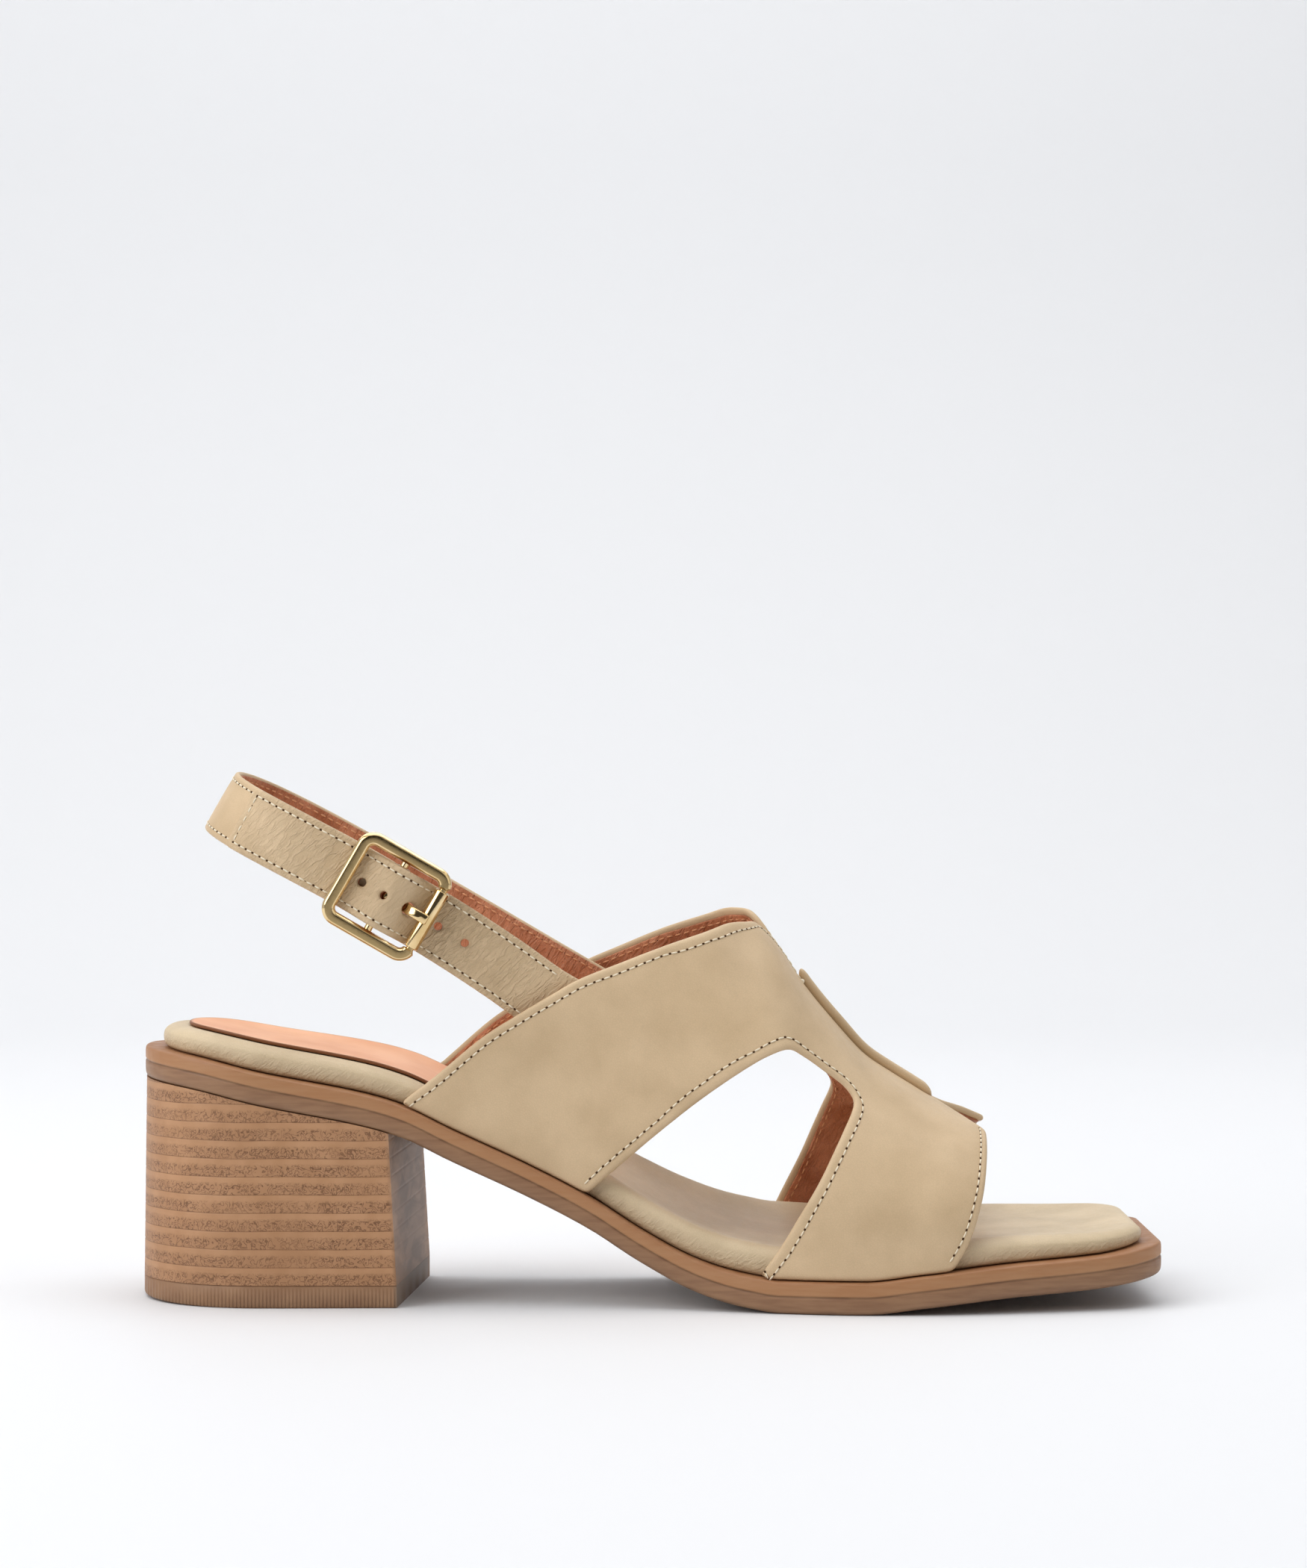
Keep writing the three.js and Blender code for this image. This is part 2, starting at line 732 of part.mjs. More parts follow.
// A strap's section with eased edges, from its under face to its outer face
function strapRing(at, lift) {
  const { origin, out, up } = slingFrame(at);
  const half = strapWidth / 2;
  const thick = strapThickness / 2;
  const ease = 0.45;
  const profile = [
    [half - ease, -thick],
    [half, -thick + ease],
    [half, thick - ease],
    [half - ease, thick],
    [-half + ease, thick],
    [-half, thick - ease],
    [-half, -thick + ease],
    [-half + ease, -thick],
  ];
  return profile.map(([across, deep]) =>
    origin
      .clone()
      .addScaledVector(up, -across)
      .addScaledVector(out, lift + deep),
  );
}

function strapBody(from, to, count, rows) {
  const rings = [];
  for (let k = 0; k <= count; k += 1) {
    const at = from + ((to - from) * k) / count;
    rings.push(strapRing(at, buckleLift * follow(rows, "lift", (at - buckleAt) / buckleLength)));
  }
  return solid(stack(rings));
}

// A pin square to the strap, with its length along the buckle where it is a slot
function strapCutter(at, diameter, slot) {
  const { origin, along, out } = slingFrame(at);
  const pin = new THREE.CylinderGeometry(diameter / 2, diameter / 2, strapThickness * 12, 12);
  pin.scale(slot / diameter, 1, 1);
  const turned = new THREE.Matrix4().makeBasis(along, out, new THREE.Vector3().crossVectors(along, out));
  turned.setPosition(origin);
  return solid(pin.applyMatrix4(turned));
}

// The prong comes up through the strap about halfway from the centre bar to the roller
const prongHoleAt = buckleAt - 0.606 * (buckleLength - buckleBar) / 2;

function makeFrontStrap() {
  const holes = [-2, -1, 1, 1.8].map((k) =>
    strapCutter(prongHoleAt + k * holeSpacing, holeDiameter, holeDiameter),
  );
  const slot = strapCutter(prongHoleAt, prongSlotWidth, prongSlot);
  const strap = strapBody(-slingTuck, tailLength, 42, frontStrapRows);
  return geometryOf([...holes, slot].reduce((body, hole) => body.subtract(hole), strap));
}

// The buckle's own frame: X along the strap to the back, Y square to the strap, Z up across it
const buckleFrame = slingFrame(buckleAt);
const buckleMatrix = new THREE.Matrix4()
  .makeBasis(
    buckleFrame.along,
    buckleFrame.out,
    new THREE.Vector3().crossVectors(buckleFrame.along, buckleFrame.out),
  )
  .setPosition(buckleFrame.origin);
const centreBarLift = buckleLift - centreBarDrop;

// A ring about the buckle's Z axis, with a bore
function collar(bore, outer, width, z) {
  const profile = [
    new THREE.Vector2(bore / 2, -width / 2),
    new THREE.Vector2(outer / 2, -width / 2),
    new THREE.Vector2(outer / 2, width / 2),
    new THREE.Vector2(bore / 2, width / 2),
    new THREE.Vector2(bore / 2, -width / 2),
  ];
  return new THREE.LatheGeometry(profile, 18).rotateX(Math.PI / 2).translate(0, 0, z);
}

// The rear strap ends in two loops round the centre bar, one on each side of the prong
function makeRearStrap() {
  const bore = centreBar + 2 * gap;
  const outer = bore + 2 * strapLoopWall;
  const slot = prongWidth + 2 * gap + 0.6;
  const loopWidth = (strapWidth - slot) / 2;
  const middle = (strapWidth + slot) / 4;
  const loops = [-middle, middle].map((z) =>
    solid(collar(bore, outer, loopWidth, z).translate(0, centreBarLift, 0).applyMatrix4(buckleMatrix)),
  );
  const end = slingLength - slingTuck;
  const strap = strapBody(buckleAt + bore / 2 + 0.2, end, 52, rearStrapRows);
  const slotPin = strapCutter(buckleAt, slot, prongSlot * 1.6);
  return geometryOf(strap.subtract(slotPin).add(loops[0]).add(loops[1]));
}

// The frame is a rounded square ring whose front bar is thinner inside the roller
function makeBuckleFrame() {
  const halfLong = (buckleLength - buckleBar) / 2;
  const halfWide = (buckleWidth - buckleBar) / 2;
  const outline = new THREE.Path();
  outline.moveTo(halfLong, 0);
  outline.lineTo(halfLong, halfWide - buckleCorner);
  outline.absarc(halfLong - buckleCorner, halfWide - buckleCorner, buckleCorner, 0, Math.PI / 2);
  outline.absarc(-halfLong + buckleCorner, halfWide - buckleCorner, buckleCorner, Math.PI / 2, Math.PI);
  outline.lineTo(-halfLong, 0);
  outline.absarc(-halfLong + buckleCorner, -halfWide + buckleCorner, buckleCorner, Math.PI, 1.5 * Math.PI);
  outline.absarc(halfLong - buckleCorner, -halfWide + buckleCorner, buckleCorner, 1.5 * Math.PI, 2 * Math.PI);
  outline.closePath();
  const path = outline.getPoints(6).slice(0, -1);
  const distinct = path.filter((p, k) => p.distanceTo(path[(k + 1) % path.length]) > 0.01);
  const rings = distinct.map((p, k) => {
    const before = distinct[(k - 1 + distinct.length) % distinct.length];
    const after = distinct[(k + 1) % distinct.length];
    const across = after.clone().sub(before).normalize();
    const out = new THREE.Vector2(across.y, -across.x);
    const inRoller = p.x < -halfLong + 0.01 && Math.abs(p.y) < halfWide - buckleCorner + 0.01;
    const wide = (inRoller ? rollerBar : buckleBar) / 2;
    const tall = (inRoller ? rollerBar : buckleBarHeight) / 2;
    const sides = 8;
    const ring = [];
    for (let s = 0; s < sides; s += 1) {
      const angle = (2 * Math.PI * s) / sides;
      const far = wide * Math.cos(angle);
      ring.push(new THREE.Vector3(p.x + out.x * far, buckleLift + tall * Math.sin(angle), p.y + out.y * far));
    }
    return ring;
  });
  const bar = new THREE.CylinderGeometry(centreBar / 2, centreBar / 2, 2 * halfWide, 14);
  bar.rotateX(Math.PI / 2).translate(0, centreBarLift, 0);
  return geometryOf(solid(closedTube(rings)).add(solid(bar)));
}

function makeRoller() {
  const halfLong = (buckleLength - buckleBar) / 2;
  const span = buckleWidth - buckleBar - 2 * buckleCorner - 2 * gap;
  return collar(rollerBar + 2 * gap, rollerDiameter, span, 0).translate(-halfLong, buckleLift, 0);
}

// The prong turns on the centre bar, comes up through the strap and rests on the roller
function makeProng() {
  const rollerTop = buckleLift + rollerDiameter / 2;
  const rollerX = -(buckleLength - buckleBar) / 2;
  const over = rollerTop + gap + prongThickness / 2;
  const rise = over - centreBarLift;
  const rows = [
    { x: -centreBar / 2 - gap - 0.35, lift: centreBarLift },
    { x: rollerX * 0.45, lift: centreBarLift + rise * 0.02 },
    { x: rollerX * 0.53, lift: centreBarLift + rise * 0.18 },
    { x: rollerX * 0.61, lift: centreBarLift + rise * 0.52 },
    { x: rollerX * 0.7, lift: centreBarLift + rise * 0.86 },
    { x: rollerX * 0.84, lift: over },
    { x: rollerX - rollerDiameter * 0.06, lift: over },
  ];
  const half = prongWidth / 2;
  const thick = prongThickness / 2;
  const ease = 0.3;
  const rings = rows.map(({ x, lift }) =>
    [
      [-half, -thick + ease],
      [-half + ease, -thick],
      [half - ease, -thick],
      [half, -thick + ease],
      [half, thick - ease],
      [half - ease, thick],
      [-half + ease, thick],
      [-half, thick - ease],
    ].map(([z, y]) => new THREE.Vector3(x, lift + y, z)),
  );
  const eyeBore = centreBar + 2 * gap;
  const eye = collar(eyeBore, eyeBore + 2 * strapLoopWall, prongWidth, 0).translate(0, centreBarLift, 0);
  return geometryOf(solid(stack(rings)).add(solid(eye)));
}

const looks = {
  sole: { color: 0x966e55, roughness: 0.55, metalness: 0 },
  stack: { color: 0xa9805c, roughness: 0.6, metalness: 0 },
  rubber: { color: 0x7d5a44, roughness: 0.7, metalness: 0 },
  leather: { color: 0xcdbb9b, roughness: 0.5, metalness: 0 },
  sock: { color: 0xd9a079, roughness: 0.45, metalness: 0 },
  gold: { color: 0xc8aa6e, roughness: 0.25, metalness: 1 },
};

const sandal = new THREE.Group();

function place(parent, name, geometry, look) {
  const mesh = new THREE.Mesh(geometry, new THREE.MeshStandardMaterial(look));
  mesh.name = name;
  parent.add(mesh);
}

const footbedGeometry = makeFootbed();
place(sandal, "outsole", makeOutsole(), looks.sole);
place(sandal, "heel_block", makeHeelBlock(), looks.stack);
place(sandal, "heel_top_piece", makeTopPiece(), looks.rubber);
place(sandal, "footbed", footbedGeometry, looks.leather);
place(sandal, "heel_sock", makeHeelSock(footbedGeometry), looks.sock);
place(sandal, "upper", makeUpper(), looks.leather);
place(sandal, "sling_strap_front", makeFrontStrap(), looks.leather);
place(sandal, "sling_strap_rear", makeRearStrap(), looks.leather);

const buckle = new THREE.Group();
buckleMatrix.decompose(buckle.position, buckle.quaternion, buckle.scale);
sandal.add(buckle);
place(buckle, "buckle_frame", makeBuckleFrame(), looks.gold);
place(buckle, "buckle_roller", makeRoller(), looks.gold);
place(buckle, "buckle_prong", makeProng(), looks.gold);

// The origin is under the middle of the sandal, on the floor
const box = new THREE.Box3().setFromObject(sandal);
const middle = box.getCenter(new THREE.Vector3());
sandal.position.set(-middle.x, -middle.y, -box.min.z);

export default sandal;
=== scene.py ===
# The looks of a slingback sandal with a block heel, for the right foot.
# Lengths are millimetres in the shoe's own frame until to_frame turns them into metres:
# X runs from the back of the heel to the toe, Y to the inner side and Z up from the floor.
import math
import random

import bpy
import numpy as np
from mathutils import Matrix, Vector
from mathutils.geometry import delaunay_2d_cdt


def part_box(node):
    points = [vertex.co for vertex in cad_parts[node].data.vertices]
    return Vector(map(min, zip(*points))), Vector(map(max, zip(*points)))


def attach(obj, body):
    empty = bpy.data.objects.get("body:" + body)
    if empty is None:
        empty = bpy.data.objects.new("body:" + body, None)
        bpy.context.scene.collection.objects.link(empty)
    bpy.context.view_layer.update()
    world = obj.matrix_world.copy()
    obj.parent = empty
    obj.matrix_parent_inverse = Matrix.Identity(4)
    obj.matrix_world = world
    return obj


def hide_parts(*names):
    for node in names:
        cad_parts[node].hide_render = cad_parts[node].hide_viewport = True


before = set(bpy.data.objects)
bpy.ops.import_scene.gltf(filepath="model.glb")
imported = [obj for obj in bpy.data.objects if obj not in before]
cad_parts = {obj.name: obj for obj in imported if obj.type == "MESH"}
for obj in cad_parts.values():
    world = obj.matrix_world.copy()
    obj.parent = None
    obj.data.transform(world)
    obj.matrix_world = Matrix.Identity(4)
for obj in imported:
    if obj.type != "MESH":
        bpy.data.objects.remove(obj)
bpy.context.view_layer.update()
random.seed(7)


def table(columns, *rows):
    """A short table: a row for each place, a named column for each value."""
    return dict(zip(columns.split(), np.array(rows, dtype=float).T))


# Sizes of the last, the sole and the heel
LENGTH = 248
BALL_WIDTH = 88
HEEL_HEIGHT = 54
TOE_SPRING = 7.5
INSTEP_HEIGHT = 70
TOE_CORNER = 13
HEEL_ROUNDNESS = 2.3
MEDIAL_RISE = 2.6
MEDIAL_FORWARD = 3
MEDIAL_TOE_RISE = 1
SOLE_THICKNESS = 7.6
SIDE_GROOVE = 0.22
LEDGE = 4.4
FOOTBED_THICKNESS = 7.6
FOOTBED_CORNER = 18
DISH_WIDTH = 16
SOCK_THICKNESS = 0.8
SOCK_INSET = 10.5
SOCK_LENGTH = 106
TOP_PIECE = 5.4
TOP_PIECE_WEAR = 0.6
HEEL_LENGTH_OUTER = 62
HEEL_LENGTH_INNER = 66.5
HEEL_FLARE = 2
HEEL_INSET = 0.3
STACK_PITCH = 4.35
TREAD_PITCH = 0.9

# Painted shade of a small nick at the front edge of the top piece: a dark spot in the colour, with no cut in
# the form
NICK_SHADE_SPOT = (64.6, -28.4, 5.2)
NICK_SHADE_REACH = 0.9

# Between pieces that touch
GAP = 0.3

# Sizes of the upper
WALL = 2
SEAT_SLACK = 0.3
SEAM_WIDTH = 3.4
SEAM_HEIGHT = 2.2
OPENING_MEDIAL_BACK = 5
THROAT_AT = 0.651
PEAK_AT = 0.597
MEDIAL_EVEN_AT = 0.63
TOE_NOTCH_AT = 0.781
TOE_NOTCH_FRONT_AT = 0.828
TOE_NOTCH_SHARE = 0.17
MEDIAL_TOE_FROM = 0.785
MEDIAL_TOE_FULL = 0.82
LINING = 0.4

# Sizes of the sling and its buckle
STRAP_WIDTH = 16
STRAP_THICKNESS = 1.8
SLING_ANGLE = 30
SLING_REACH = 92.5
SLING_HALF_WIDTH = 25
SLING_BEND = 34.5
SLING_TUCK = 12
SLING_BOW = 2.8
SLING_INNER_LIFT = 1.5
SLING_ROOT_AT = 0.397
SLING_ROOT_UP = 0.593
TAIL_LENGTH = 86
HOLE_SPACING = 7.6
HOLE_DIAMETER = 2
BUCKLE_AT = 45.1
BUCKLE_LENGTH = 25.3
BUCKLE_WIDTH = 24.8
BUCKLE_BAR = 3.2
BUCKLE_BAR_HEIGHT = 2.6
BUCKLE_CORNER = 2.8
BUCKLE_LIFT = 4.9
ROLLER_BAR = 2
ROLLER_DIAMETER = 3.6
CENTRE_BAR = 2
CENTRE_BAR_DROP = 1.7
LOOP_WALL = 0.65
PRONG_WIDTH = 2.5
PRONG_THICKNESS = 1.3
PRONG_RISE_AT = 38.9
PRONG_RING = 3.1

# Stitches and needle holes
STITCH_PITCH = 2.15
STITCH_LENGTH = 1.6
STITCH_THICKNESS = 0.4
STITCH_INSET = 1.7
STITCH_LIFT = 0.1
NEEDLE_HOLE = 0.34
THREAD_SIDES = 8

# The knot of thread at the throat's apex: its radius, its place along the shoe and its length from the ridge
KNOT = 0.62
KNOT_PLACE = [161.6, -2.4]

SOLE_ROWS = table(
    "at heel toe",
    (0.0, 1.0, 0),
    (0.06, 0.963, 0),
    (0.124, 0.896, 0),
    (0.226, 0.803, 0),
    (0.262, 0.752, 0),
    (0.307, 0.652, 0),
    (0.381, 0.494, 0),
    (0.443, 0.346, 0),
    (0.49, 0.21, 0),
    (0.539, 0.092, 0),
    (0.572, 0.041, 0),
    (0.6, 0.015, 0),
    (0.625, 0, 0),
    (0.705, 0, 0),
    (0.76, 0, 0.2),
    (0.845, 0, 0.5),
    (0.93, 0, 0.7),
    (0.96, 0, 0.82),
    (1.0, 0, 1.0),
)

OUTLINE_ROWS = table(
    "at outer inner",
    (0.0, 0.33, 0.33),
    (0.12, 0.352, 0.352),
    (0.25, 0.345, 0.34),
    (0.4, 0.338, 0.288),
    (0.5, 0.368, 0.3),
    (0.62, 0.455, 0.4),
    (0.7, 0.492, 0.475),
    (0.76, 0.495, 0.502),
    (0.86, 0.455, 0.498),
    (0.94, 0.4, 0.475),
    (1.0, 0.35, 0.44),
)

# Side of the sole, by steps along its profile from the bottom edge to the top edge
SOLE_SIDE_ROWS = table(
    "at level inset",
    (0, 0, 1.3),
    (1, 0.02, 0.75),
    (2, 0.07, 0.3),
    (3, 0.16, 0.08),
    (4, 0.3, 0),
    (5, 0.47, 0),
    (6, 0.515, 0.12),
    (7, 0.54, SIDE_GROOVE),
    (8, 0.56, SIDE_GROOVE),
    (9, 0.585, 0.12),
    (10, 0.63, 0),
    (11, 0.8, 0),
    (12, 0.93, 0.12),
    (13, 0.98, 0.4),
    (14, 1.0, 0.9),
)

# Side and dished top of the footbed: shares of its rim's height, in from its widest line to the dish
FOOTBED_ROWS = table(
    "at level inset",
    (0, 0, 0.081),
    (1, 0.08, 0.034),
    (2, 0.22, 0.008),
    (3, 0.42, 0),
    (4, 0.62, 0.011),
    (5, 0.78, 0.047),
    (6, 0.9, 0.106),
    (7, 0.98, 0.194),
    (8, 1.0, 0.288),
    (9, 0.97, 0.425),
    (10, 0.91, 0.594),
    (11, 0.86, 0.781),
    (12, 0.83, 1.0),
)

# Rim of the footbed along the length, as a share of its thickness: the inner side rises along the arch
FOOTBED_RIM_ROWS = table(
    "at outer inner",
    (0.0, 0.75, 0.78),
    (0.05, 0.8, 0.82),
    (0.12, 0.88, 0.95),
    (0.28, 0.88, 1.18),
    (0.43, 1.0, 1.6),
    (0.53, 1.03, 1.79),
    (0.585, 1.0, 1.66),
    (0.655, 1.0, 1.45),
    (0.75, 0.95, 1.12),
    (0.847, 0.82, 0.82),
    (0.948, 0.63, 0.63),
    (1.0, 0.55, 0.55),
)

RIDGE_ROWS = table(
    "at up fullness",
    (0.2, 1.42, 2.3),
    (0.43, 1.511, 2.3),
    (0.512, 1.482, 2.3),
    (0.556, 1.377, 2.25),
    (0.597, 1.225, 2.2),
    (0.6125, 1.18, 2.2),
    (0.6255, 1.13, 2.2),
    (0.64, 1.054, 2.2),
    (0.651, 0.992, 2.2),
    (0.69, 0.823, 2.2),
    (0.713, 0.735, 2.2),
    (0.735, 0.672, 2.2),
    (0.758, 0.61, 2.2),
    (0.781, 0.552, 2.2),
    (0.827, 0.462, 2.2),
    (0.88, 0.394, 2.2),
)

BACK_EDGE_ROWS = table(
    "at up",
    (0.232, -0.14),
    (0.258, 0.0),
    (0.292, 0.15),
    (0.336, 0.354),
    (0.369, 0.484),
    (0.402, 0.611),
    (0.431, 0.723),
    (0.469, 0.859),
    (0.513, 1.012),
    (0.558, 1.136),
    (0.58, 1.183),
    (0.6, 1.196),
)

# The throat beside the seam, from its wide end down to its apex: half width as a share of the ball width
THROAT_ROWS = table(
    "at across",
    (0.575, 0.165),
    (0.59, 0.121),
    (0.5975, 0.094),
    (0.61, 0.052),
    (0.6255, 0.03),
    (0.64, 0.015),
    (0.651, 0),
)

OPENING_ROWS = table(
    "at up",
    (0.42, -0.1),
    (0.443, 0.024),
    (0.479, 0.217),
    (0.511, 0.38),
    (0.549, 0.551),
    (0.587, 0.682),
    (0.6125, 0.75),
    (0.636, 0.781),
    (0.653, 0.754),
    (0.6735, 0.703),
    (0.693, 0.653),
    (0.6993, 0.615),
    (0.697, 0.577),
    (0.688, 0.516),
    (0.676, 0.433),
    (0.661, 0.329),
    (0.642, 0.215),
    (0.6254, 0.115),
    (0.6087, 0.024),
    (0.588, -0.1),
)

FRONT_EDGE_ROWS = table(
    "at up",
    (0.776, -0.1),
    (0.79, 0.0),
    (0.806, 0.092),
    (0.819, 0.228),
    (0.827, 0.364),
    (0.8305, 0.434),
)

# Height of each strap over the sling's own line, as a share of the buckle's lift,
# along that line from the buckle's middle, as a share of the buckle's length
FRONT_STRAP_ROWS = table(
    "at lift",
    (-1.79, 0),
    (-0.79, 0.214),
    (-0.4375, 0.37),
    (-0.29, 0.633),
    (-0.15, 1.143),
    (0, 1.347),
    (0.125, 1.122),
    (0.29, 0.673),
    (0.458, 0.449),
    (0.79, 0.429),
)

REAR_STRAP_ROWS = table(
    "at lift",
    (0.067, 0.429),
    (0.208, 0.265),
    (0.375, 0.04),
    (0.5, 0),
)


# The shoe's forms

def unit(vectors):
    return vectors / np.linalg.norm(vectors, axis=1)[:, None]


def lengths_along(points):
    """Length along a line at each of its points."""
    return np.append(0, np.cumsum(np.linalg.norm(np.diff(points, axis=0), axis=1)))


def follow(rows, column, at):
    """Values of a table's column along a curve that doesn't overshoot its rows."""
    places = rows["at"]
    values = rows[column]
    slopes = np.diff(values) / np.diff(places)
    before, after = slopes[:-1], slopes[1:]
    same_way = before * after > 0
    total = np.where(same_way, before + after, 1)
    middle = np.where(same_way, 2 * before * after / total, 0)
    tangents = np.concatenate(([slopes[0]], middle, [slopes[-1]]))
    at = np.clip(at, places[0], places[-1])
    i = np.clip(np.searchsorted(places, at) - 1, 0, len(slopes) - 1)
    reach = places[i + 1] - places[i]
    t = (at - places[i]) / reach
    curve = values[i] * (1 + 2 * t) * (1 - t) ** 2 + values[i + 1] * t * t * (3 - 2 * t)
    bend = tangents[i] * t * (1 - t) ** 2 - tangents[i + 1] * t * t * (1 - t)
    return curve + reach * bend


def spline(points, count):
    """A uniform Catmull-Rom curve through points, as the source's edges use."""
    points = np.asarray(points, dtype=float)
    last = len(points) - 1
    place = np.linspace(0, last, count)
    i = np.minimum(place.astype(int), last - 1)
    t = (place - i)[:, None]
    p0 = points[np.maximum(i - 1, 0)]
    p1 = points[i]
    p2 = points[i + 1]
    p3 = points[np.minimum(i + 2, last)]
    p0 = np.where((i == 0)[:, None], p1, p0)
    p3 = np.where((i + 2 > last)[:, None], p2, p3)
    v0 = (p2 - p0) / 2
    v1 = (p3 - p1) / 2
    return (2 * p1 - 2 * p2 + v0 + v1) * t**3 + (3 * p2 - 3 * p1 - 2 * v0 - v1) * t**2 + v0 * t + p1


def sole_bottom(x):
    at = np.asarray(x) / LENGTH
    return HEEL_HEIGHT * follow(SOLE_ROWS, "heel", at) + TOE_SPRING * follow(SOLE_ROWS, "toe", at)


def sole_top(x):
    return sole_bottom(x) + SOLE_THICKNESS


def smooth(start, end, at):
    """A smooth step from 0 at one place to 1 at another."""
    share = np.clip((at - start) / (end - start), 0, 1)
    return share * share * (3 - 2 * share)


def half_width(side, x, inset, toe_radius=TOE_CORNER):
    """Half width of the outline at x, on the outer side (-1) or the inner side (1)."""
    at = np.asarray(x) / LENGTH
    outer, inner = (follow(OUTLINE_ROWS, key, at) for key in ("outer", "inner"))
    share = np.where(np.asarray(side) < 0, outer, inner)
    full = BALL_WIDTH * share - inset
    heel_share = np.clip((x - inset) / full, 0, 1)
    heel_round = (1 - (1 - heel_share) ** HEEL_ROUNDNESS) ** (1 / HEEL_ROUNDNESS)
    corner = np.maximum(toe_radius - inset, WALL)
    past = np.clip(corner - (LENGTH - inset - x), 0, corner)
    return full * heel_round - (corner - np.sqrt(corner**2 - past**2))


def places(count):
    """Shares of a length, close together at both ends."""
    turn = 0.004 + 0.992 * np.arange(count + 1) / count
    return (1 - np.cos(math.pi * turn)) / 2


def sole_ring(inset, height_at, toe_radius=TOE_CORNER):
    along = inset + places(150) * (LENGTH - 2 * inset)
    outer = np.stack([along, -half_width(-1, along, inset, toe_radius)], axis=1)
    inner = np.stack([along, half_width(1, along, inset, toe_radius)], axis=1)[::-1]
    flat = np.concatenate([outer, inner])
    return np.column_stack([flat, height_at(flat[:, 0], flat[:, 1])])


HEEL_SIDE_POINTS = 70
BREAST_POINTS = 14
BREAST_EDGE = 0.5


def heel_ring(share, inset, height_at):
    """A ring of the heel, with points across its front face too."""
    flare = HEEL_FLARE * (1 - share)
    turn = 0.004 + 0.496 * np.arange(HEEL_SIDE_POINTS) / HEEL_SIDE_POINTS
    along = np.append(1 - np.cos(math.pi * turn), 1)
    ends = []
    for side, reach in ((-1, HEEL_LENGTH_OUTER), (1, HEEL_LENGTH_INNER)):
        x = along * (reach + flare) - (1 - along) * flare * 0.3 + inset * (1 - along)
        y = half_width(side, np.maximum(along * reach, along[0]) + inset * (1 - along), inset)
        ends.append(np.stack([x, side * y], axis=1))
    outer, inner = ends
    near = outer[-1]
    far = inner[-1]
    step = (far - near) / np.linalg.norm(far - near)
    outer[-1, 0] -= BREAST_EDGE
    inner[-1, 0] -= BREAST_EDGE
    across = np.linspace(0, 1, BREAST_POINTS)[:, None]
    face = near + step * BREAST_EDGE + across * (far - near - 2 * step * BREAST_EDGE)
    flat = np.concatenate([outer, face, inner[::-1]])
    return np.column_stack([flat, height_at(flat[:, 0])])


def footbed_height(level, x, y):
    """A level of the footbed, whose rim is blended from the outer side to the inner side of the waist."""
    waist = 0.3 * BALL_WIDTH
    outer = follow(FOOTBED_RIM_ROWS, "outer", x / LENGTH)
    inner = follow(FOOTBED_RIM_ROWS, "inner", x / LENGTH)
    rim = FOOTBED_THICKNESS * (outer + (inner - outer) * smooth(-waist, waist, y)) - GAP
    return sole_top(x) + GAP + level * rim


def footbed_top(x, y):
    """Height of the footbed's top at a point, found from how far in from its edge the point lies."""
    side = np.where(y < 0, -1, 1)
    low = np.zeros(len(x))
    high = np.full(len(x), 40.0)
    for _ in range(30):
        middle = (low + high) / 2
        inside = LEDGE + middle
        wide = half_width(side, np.clip(x, inside + 0.01, LENGTH - inside - 0.01), inside, FOOTBED_CORNER)
        too_far = (wide < np.abs(y)) | (x < inside) | (x > LENGTH - inside)
        high = np.where(too_far, middle, high)
        low = np.where(too_far, low, middle)
    place = np.interp(low / DISH_WIDTH, FOOTBED_ROWS["inset"][3:], FOOTBED_ROWS["at"][3:])
    level = follow(FOOTBED_ROWS, "level", place)
    return footbed_height(level, x, y)


def ridge(x):
    return sole_top(x) + INSTEP_HEIGHT * follow(RIDGE_ROWS, "up", np.asarray(x) / LENGTH)


def medial_lift(side, x):
    """The inner half stands a little higher, behind the throat and in front of the toe notch."""
    at = x / LENGTH
    behind = MEDIAL_RISE * (1 - smooth(PEAK_AT, MEDIAL_EVEN_AT, at))
    ahead = MEDIAL_TOE_RISE * smooth(MEDIAL_TOE_FROM, MEDIAL_TOE_FULL, at)
    return np.where(np.asarray(side) > 0, behind + ahead, 0)


TURNS = np.linspace(0, 1, 97)


def upper_section(side, x):
    """Half sections of the upper: width, rim, rise, power, and length along it from the ridge."""
    width = half_width(side, x, LEDGE - GAP - WALL - SEAT_SLACK)
    rim = sole_top(x) + FOOTBED_THICKNESS
    rise = ridge(x) + medial_lift(side, x) - rim
    power = 2 / follow(RIDGE_ROWS, "fullness", x / LENGTH)
    angle = (1 - TURNS) * math.pi / 2
    y = width[:, None] * np.cos(angle) ** power[:, None]
    z = rise[:, None] * np.sin(angle) ** power[:, None]
    steps = np.hypot(np.diff(y, axis=1), np.diff(z, axis=1))
    along = np.concatenate([np.zeros((len(x), 1)), np.cumsum(steps, axis=1)], axis=1)
    return width, rim, rise, power, along


